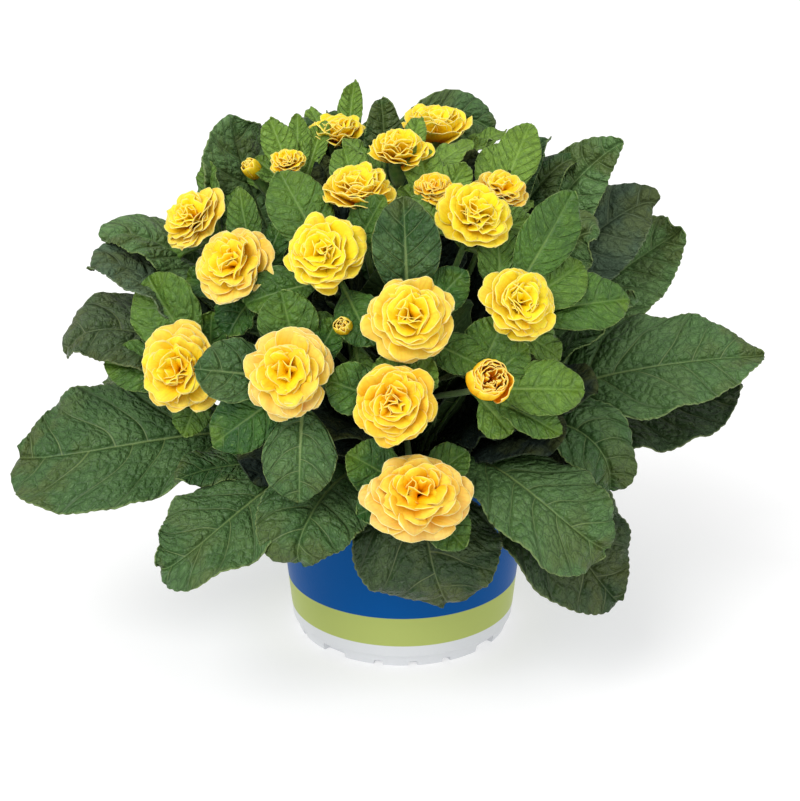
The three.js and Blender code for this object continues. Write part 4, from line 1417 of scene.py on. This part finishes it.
        def surface(across: Array, along: Array) -> Shaped:
            """The cup: it swells from the stalk, with five ribs that end in teeth."""
            tooth = np.abs(np.cos(2.5 * 2 * math.pi * across))
            share = start + (1 - start) * along
            centre, ahead = spine.at(share)
            first = unit(np.cross(ahead, self.up + 0.01))
            second = np.cross(first, ahead)
            swell = np.sin(np.minimum(along / 0.75, 1) * math.pi / 2)
            reach = self.calyx_foot + (self.calyx_radius * size - self.calyx_foot) * swell + 0.35 * tooth
            reach = reach + 2.6 * size * np.maximum(along - 0.8, 0) * tooth
            forward = 2.2 * size * np.maximum(along - 0.7, 0) / 0.3 * tooth
            points = centre + ring(across, first, second) * reach[:, None] + ahead * forward[:, None]
            stem = np.column_stack((across * 20, along * self.calyx_length, 0.3 + 0.5 * along))
            return points, {"blade_mm": stem}

        cup = shape(new_sheet(f"{self.name}_calyx", 20, 8), surface)
        weld(cup)
        thicken(cup, self.calyx_thickness)
        cup.data.materials.append(Finish.STEM.material)
        return cup

    def collar_leaf(
        self, spine: Spine, length: float, entry: tuple[float, float, float, float], number: int
    ) -> Piece:
        """Models one small leaf that grows from the stalk under the flower.

        Args:
            spine: The stalk's curve.
            length: The stalk's length.
            entry: The leaf's row in the plan's collar.
            number: Its number there.

        Returns:
            The leaf.
        """
        clock, reach, half, lift = entry
        angle = math.radians(clock)
        out = self.right * math.sin(angle) + self.up * math.cos(angle)
        root = spine.at(np.array((1 - self.collar_depth / length,)))[0][0] + out * 1.1
        points = tuple(
            root + self.ahead * forward * reach + out * outward * reach
            for forward, outward in ((0, 0), (0.12, 0.22), (0.3 * lift + 0.16, 0.62), (lift * 0.5 + 0.08, 1))
        )
        rng = np.random.default_rng(self.number * 17 + number)
        blade = Blade(
            spine=Spine(points),
            side=np.cross(self.ahead, out),
            half=half,
            petiole=0.2,
            root_width=1.2,
            roll=float(rng.normal(0, 7)),
            fold=float(rng.uniform(4, 20)),
            taper=0.75,
            wave=0.9,
            phase=number * 2.1 + reach,
            tone=float(np.clip(self.plan.fresh + rng.uniform(-0.3, 0.3), 0, 1)),
            quilt=0.42,
            ruffle=0.55,
            tooth=0.4,
            tooth_step=2.5,
            branch_share=0.6,
            stem_rows=0.06,
        )
        grown = half > self.grown_half and self.plan.fresh < self.grown_fresh
        finish = Finish.OLD_LEAF if grown else Finish.YOUNG_LEAF
        return blade.build(f"{self.name}_collar_{number}", 16, 28, finish, 0.8)


@dataclass(frozen=True)
class ShootPlan:
    """A shoot that stands in the soil and carries the flowers of its side of the plant.

    Its foot reaches from bottom to top, and its stalks leave it at the height of stalks. A stalk starts beside
    the foot's middle, by the share spread of the way from the point at reach spread_from to its flower.
    """

    name: str
    azimuth: float
    reach: float = 9.2
    bottom: float = 70.0
    stalks: float = 92.0
    top: float = 97.0
    spread: float = 0.045
    spread_from: float = 66.0

    def at(self, height: float) -> Array:
        """The middle of the shoot at a height."""
        return polar(self.azimuth, self.reach, height)


SHOOTS = (
    ShootPlan("front", 0),
    ShootPlan("right", 72),
    ShootPlan("back_right", 144),
    ShootPlan("back_left", 216),
    ShootPlan("left", 288),
)


@dataclass
class Inflorescence:
    """All flowers, on the shoots that carry them, with the inner leaves of the crown.

    The tip of each inner leaf is (azimuth, reach, height). Those of inner turn with every shoot, those of high
    stand once, and those of green look out on top.
    """

    plans: tuple[BloomPlan, ...] = BLOOMS
    shoots: tuple[ShootPlan, ...] = SHOOTS
    seed: int = 3
    crown_reach: float = 15.0
    crown_height: float = 88.0
    rib_width: float = 1.4
    inner: tuple[tuple[float, float, float], ...] = (
        (-24, 40, 172), (0, 30, 184), (24, 44, 168), (-36, 62, 138), (-4, 64, 128), (30, 60, 142), (-18, 66, 104),
        (16, 68, 101), (-26, 82, 122),
    )
    high: tuple[tuple[float, float, float], ...] = (
        (-119, 42, 217), (-100, 60, 200), (-160, 30, 208), (122, 38, 221), (100, 50, 212), (150, 30, 210),
        (48, 94, 114), (62, 94, 100), (62, 92, 128), (90, 74, 196), (-60, 50, 196), (-50, 92, 99),
    )
    green: tuple[tuple[float, float, float], ...] = (
        (-130, 69, 228), (-152, 60, 231), (128, 80, 220), (124, 88, 212), (-100, 138, 162), (-158, 27, 243),
        (-52, 115, 97),
    )

    def nearest(self, azimuth: float) -> ShootPlan:
        """The shoot nearest to an azimuth."""
        return min(self.shoots, key=lambda shoot: abs((azimuth - shoot.azimuth + 540) % 360 - 180))

    def foot(self, shoot: ShootPlan) -> Piece:
        """Models the thick foot of a shoot, which its stalks grow from."""
        low, high = shoot.at(shoot.bottom), shoot.at(shoot.top)
        spine = Spine((low, low + (high - low) / 3, low + (high - low) * 2 / 3, high))

        def radius(share: Array) -> Array:
            """Slimmer towards the top, where the stalks part."""
            return 4.8 - 1.0 * share - 1.5 * smooth(share, 0.85, 1.0)

        foot = tube(f"{shoot.name}_foot", spine, radius, 16, 12)
        foot.data.materials.append(Finish.STEM.material)
        return foot

    def crown(self, shoot: ShootPlan) -> list[Piece]:
        """Models the inner leaves that close the plant's middle: dark ones, whose darkness is painted shade, and
        green ones that look out on top.

        Args:
            shoot: The shoot whose side of the plant they fill.

        Returns:
            The leaves.
        """
        rng = np.random.default_rng(int(shoot.azimuth) + self.seed)
        tips = [(shoot.azimuth + turn + rng.uniform(-6, 6), reach, height) for turn, reach, height in self.inner]
        tips.extend(tip for tip in self.high if self.nearest(tip[0]) is shoot)
        shaded = len(tips)
        tips.extend(tip for tip in self.green if self.nearest(tip[0]) is shoot)
        made = []
        for i, (azimuth, reach, height) in enumerate(tips):
            tip = polar(azimuth + rng.uniform(-7, 7), reach, height)
            foot = polar(azimuth, self.crown_reach, self.crown_height)
            rise = polar(azimuth, reach * 0.5, self.crown_height + (height - self.crown_height) * 0.75)
            angle = math.radians(azimuth)
            blade = Blade(
                spine=Spine((foot, rise, rise * 0.3 + tip * 0.7 + UP * 9, tip)),
                side=np.array((math.cos(angle), math.sin(angle), 0.0)),
                half=rng.uniform(17, 21) * (1.0 if i < shaded else 0.65),
                petiole=0.12,
                roll=24 * math.sin(angle),
                phase=i * 1.3 + shoot.azimuth,
            )
            # The inner leaves take the painted shade finish; the green ones on top take the grown finish.
            columns, rows, finish = (12, 22, Finish.INNER_LEAF) if i < shaded else (16, 28, Finish.OLD_LEAF)
            made.append(blade.build(f"{shoot.name}_inner_{i}", columns, rows, finish, self.rib_width))
        return made

    def build(self) -> None:
        """Models the flowers and the shoots in place of their solids."""
        master = new_sheet("petal_master", Bloom.columns, Bloom.rows)
        blooms = [Bloom(plan, number) for number, plan in enumerate(self.plans)]
        for bloom in blooms:
            ruff = bloom.petals(master)
            stand_in(ruff, f"{bloom.name}_petals")
        discard(master)
        for shoot in self.shoots:
            parts = [self.foot(shoot), *self.crown(shoot)]
            for bloom in blooms:
                if self.nearest(bloom.plan.azimuth) is shoot:
                    parts.extend(bloom.stalk(shoot))
            whole = join(parts, f"{shoot.name}_stalks")
            stand_in(whole, f"shoot_{shoot.name}")


# ---------------------------------------------------------------- pot and soil


@dataclass
class Pot:
    """The printed nursery pot: a tapered wall with a lip, on a stepped foot ring with notches.

    A notch is (width, height). Turn is the azimuth of the first of the four middle slim notches.
    """

    height: float = 94.0
    base_radius: float = 50.4
    top_radius: float = 60.0
    sides: int = 144
    turn: float = 5.5
    wide_notch: tuple[float, float] = (12.5, 4.1)
    slim_notch: tuple[float, float] = (4.2, 2.5)
    slim_step: float = 18.5
    notch_depth: float = 9.0
    notch_round: float = 0.9
    drains: int = 6
    drain_reach: float = 33.0
    drain_radius: float = 3.5
    drain_depth: float = 30.0
    smooth_angle: float = 38.0

    def radius(self, height: float) -> float:
        """Outside radius of the wall at a height."""
        return self.base_radius + (self.top_radius - self.base_radius) * height / self.height

    def profile(self) -> list[tuple[float, float]]:
        """Rings of the lathed shape from the pad under the floor, up the outside and down the inside."""
        radius = self.radius
        return [
            (17.0, 0.0),
            (18.0, 2.6),
            (43.0, 2.6),
            (44.0, 0.0),
            (radius(0) - 2.4, 0.0),
            (radius(0) - 1.9, 0.3),
            (radius(4.9) - 1.3, 4.7),
            (radius(5.2) - 0.9, 5.3),
            (radius(5.8) - 0.15, 5.9),
            (radius(6.4), 6.6),
            (radius(30), 30.0),
            (radius(60), 60.0),
            (radius(86.6), 86.6),
            (radius(88) + 0.1, 87.9),
            (radius(88) + 0.6, 88.2),
            (radius(88) + 1.4, 88.5),
            (radius(88.8) + 1.6, 89.0),
            (radius(93) + 1.6, 93.2),
            (radius(94) + 1.2, 93.9),
            (radius(94) + 0.6, 94.0),
            (radius(94) - 0.9, 94.0),
            (radius(93.6) - 1.3, 93.5),
            (radius(60) - 1.6, 60.0),
            (radius(6.2) - 2.6, 6.2),
            (radius(4.2) - 4.6, 4.2),
        ]

    def body(self) -> Piece:
        """Draws the wall out of one ring by extruding and resizing it."""
        rings = self.profile()
        deselect()
        bpy.ops.mesh.primitive_circle_add(
            vertices=self.sides, radius=rings[0][0] * MM, fill_type="NGON", location=(0, 0, rings[0][1] * MM)
        )
        pot = bpy.context.active_object
        pot.name = "nursery_pot"
        bpy.ops.object.transform_apply(location=True)
        draw_out(pot, [(high - low, far / near) for (near, low), (far, high) in zip(rings, rings[1:])])
        return pot

    def cutter(self) -> Piece:
        """Models what the foot's notches and the drain holes are cut with.

        Returns:
            Rounded blocks and pegs, joined.
        """
        made = []
        for quarter in range(4):
            middle = self.turn + quarter * 90
            for step, (width, tall) in (
                (45.0, self.wide_notch),
                (-self.slim_step, self.slim_notch),
                (0.0, self.slim_notch),
                (self.slim_step, self.slim_notch),
            ):
                azimuth = middle + step
                x, y, _ = polar(azimuth, self.base_radius - 1, 0) * MM
                deselect()
                bpy.ops.mesh.primitive_cube_add(size=1, location=(x, y, 0), rotation=(0, 0, math.radians(azimuth)))
                block = bpy.context.active_object
                block.dimensions = (width * MM, self.notch_depth * MM, 2 * tall * MM)
                bpy.ops.object.transform_apply(location=True, rotation=True, scale=True)
                bevel = block.modifiers.new("round", "BEVEL")
                bevel.width = self.notch_round * MM
                bevel.segments = 4
                bpy.ops.object.modifier_apply(modifier=bevel.name)
                made.append(block)
        for i in range(self.drains):
            x, y, _ = polar((i + 0.5) * 360 / self.drains, self.drain_reach, 0) * MM
            deselect()
            bpy.ops.mesh.primitive_cylinder_add(
                vertices=24, radius=self.drain_radius * MM, depth=self.drain_depth * MM, location=(x, y, 0)
            )
            bpy.ops.object.transform_apply(location=True)
            made.append(bpy.context.active_object)
        return join(made, "pot_cutter")

    def build(self) -> None:
        """Models the pot in place of its solid."""
        pot, cutter = self.body(), self.cutter()
        activate(pot)
        cut = pot.modifiers.new("notches", "BOOLEAN")
        cut.operation = "DIFFERENCE"
        cut.solver = "EXACT"
        cut.object = cutter
        bpy.ops.object.modifier_apply(modifier=cut.name)
        discard(cutter)
        bpy.ops.object.shade_smooth_by_angle(angle=math.radians(self.smooth_angle))
        pot.data.materials.clear()
        pot.data.materials.append(Finish.PRINT.material)
        stand_in(pot, "pot")


@dataclass
class SoilBed:
    """The potting mix: a crumbly mound that fills the pot to just under its lip.

    Clods are (width, seed, share of the distance to a clod's border that it rises), and lie deeper than the
    mound by the dip. The half sizes of the loose crumbs run from smallest to biggest.
    """

    top: float = 85.4
    mound: float = 2.2
    radius: float = 57.0
    bottom: float = 5.0
    bottom_radius: float = 45.5
    faces: int = 72
    clods: tuple[tuple[float, int, float], ...] = ((3.4, 5, 0.30), (7.5, 6, 0.16))
    dip: float = 0.9
    crumbs: int = 320
    crumb_spread: float = 0.93
    smallest: tuple[float, float, float] = (0.7, 0.6, 0.3)
    biggest: tuple[float, float, float] = (2.6, 1.5, 0.9)
    seed: int = 91

    def level(self, reach: Array) -> Array:
        """The mound's height at shares of its radius."""
        return self.top + self.mound * (1 - smooth(reach, 0.35, 1.0))

    def surface(self, across: Array, along: Array) -> Shaped:
        """The mound's top, a square sheet drawn out into a disc."""
        x, y = across * 2 - 1, along * 2 - 1
        disc_x = x * np.sqrt(1 - y * y / 2) * self.radius
        disc_y = y * np.sqrt(1 - x * x / 2) * self.radius
        reach = np.hypot(disc_x, disc_y) / self.radius
        clods = sum(cells(disc_x, disc_y, width, seed) * share for width, seed, share in self.clods)
        level = self.level(reach) + clods * (1 - smooth(reach, self.crumb_spread, 1.0)) - self.dip
        return np.column_stack((disc_x, disc_y, level)), {}

    def body(self) -> Piece:
        """Models the mix as one closed plug under its crumbly top."""
        bed = shape(new_sheet("potting_mix", self.faces, self.faces), self.surface)
        draw_out(bed, [(self.bottom - self.top + self.dip, self.bottom_radius / self.radius)])
        return bed

    def crumb_field(self) -> list[Piece]:
        """Models one bark crumb and scatters copies of it over the mound.

        Returns:
            The crumbs.
        """
        rng = np.random.default_rng(self.seed)
        deselect()
        bpy.ops.mesh.primitive_ico_sphere_add(subdivisions=1, radius=1.0)
        master = bpy.context.active_object
        count = len(master.data.vertices)
        ball = np.empty(count * 3, np.float32)
        master.data.vertices.foreach_get("co", ball)
        ball = ball.reshape(-1, 3).astype(float)
        made = []
        for i in range(self.crumbs):
            crumb = copy_of(master, f"crumb_{i}")
            size = rng.uniform(self.smallest, self.biggest)
            turn = np.linalg.qr(rng.normal(size=(3, 3)))[0]
            turn[:, 0] *= np.linalg.det(turn)
            angle, reach = rng.uniform(0, 2 * math.pi), self.radius * self.crumb_spread * math.sqrt(rng.uniform())
            level = float(self.level(np.array(reach / self.radius)))
            place = np.array((reach * math.cos(angle), reach * math.sin(angle), level))
            lumps = ball * rng.uniform(0.75, 1.2, (count, 1))
            points = (lumps * size @ turn.T + place) * MM
            crumb.data.vertices.foreach_set("co", points.astype(np.float32).ravel())
            made.append(crumb)
        discard(master)
        return made

    def build(self) -> None:
        """Models the soil in place of its solid."""
        bed = join([self.body(), *self.crumb_field()], "potting_mix")
        bed.data.materials.clear()
        bed.data.materials.append(Finish.PEAT.material)
        stand_in(bed, "soil")


# ---------------------------------------------------------------- studio


@dataclass
class Studio:
    """A pale floor, soft light and the camera."""

    camera_place: tuple[float, float, float] = (-1.1, -928.5, 480.4)
    camera_fall: float = 21.8
    lens: float = 99.64
    floor_size: float = 30.0
    floor_colour: str = "#c2c2c2"
    floor_glow: float = 0.5
    sky: float = 0.78
    key: float = 1.8
    fill: float = 3.0
    aim: float = 0.14

    def camera(self) -> None:
        """Adds the camera."""
        deselect()
        tilt = math.radians(90 - self.camera_fall)
        bpy.ops.object.camera_add(location=[p * MM for p in self.camera_place], rotation=(tilt, 0, 0))
        camera = bpy.context.active_object
        camera.data.lens = self.lens
        camera.data.clip_start = 0.05
        bpy.context.scene.camera = camera

    def lamp(self, name: str, kind: str, place: tuple[float, float, float], power: float, size: float) -> None:
        """Adds one soft lamp that looks at the plant.

        Args:
            name: The lamp's name.
            kind: SUN for one that lights the floor evenly, AREA for a soft box.
            place: Where it stands.
            power: Its strength.
            size: Degrees of sky that a sun takes, or metres across a soft box.
        """
        deselect()
        bpy.ops.object.light_add(type=kind, location=place)
        lamp = bpy.context.active_object
        lamp.name = name
        lamp.data.energy = power
        if kind == "SUN":
            lamp.data.angle = math.radians(size)
        else:
            lamp.data.size = size
        towards = bpy.context.scene.cursor.location - lamp.location
        towards.z += self.aim
        lamp.rotation_euler = towards.to_track_quat("-Z", "Y").to_euler()

    def build(self) -> None:
        """Adds floor, sky, lamps and camera."""
        deselect()
        bpy.ops.mesh.primitive_plane_add(size=self.floor_size)
        floor = bpy.context.active_object
        floor.name = "studio_floor"
        paint = Painter("matt white paper")
        paint.surface.inputs["Base Color"].default_value = linear(self.floor_colour)
        paint.surface.inputs["Emission Color"].default_value = WHITE
        paint.fixed(Roughness=0.9, Specular_IOR_Level=0.1, Emission_Strength=self.floor_glow)
        floor.data.materials.append(paint.material)
        world = bpy.data.worlds.new("studio_sky")
        world.use_nodes = True
        backdrop = world.node_tree.nodes["Background"]
        backdrop.inputs[0].default_value = WHITE
        backdrop.inputs[1].default_value = self.sky
        bpy.context.scene.world = world
        self.lamp("key_lamp", "SUN", (-0.8, -1.0, 1.5), self.key, 36.0)
        self.lamp("fill_lamp", "AREA", (1.4, -0.8, 0.9), self.fill, 1.2)
        self.camera()
        bpy.context.scene.view_settings.view_transform = "Standard"


def main() -> None:
    """Builds the studio, the pot and the plant in order."""
    Studio().build()
    Pot().build()
    SoilBed().build()
    Rosette().build()
    Inflorescence().build()


if __name__ == "__main__":
    main()
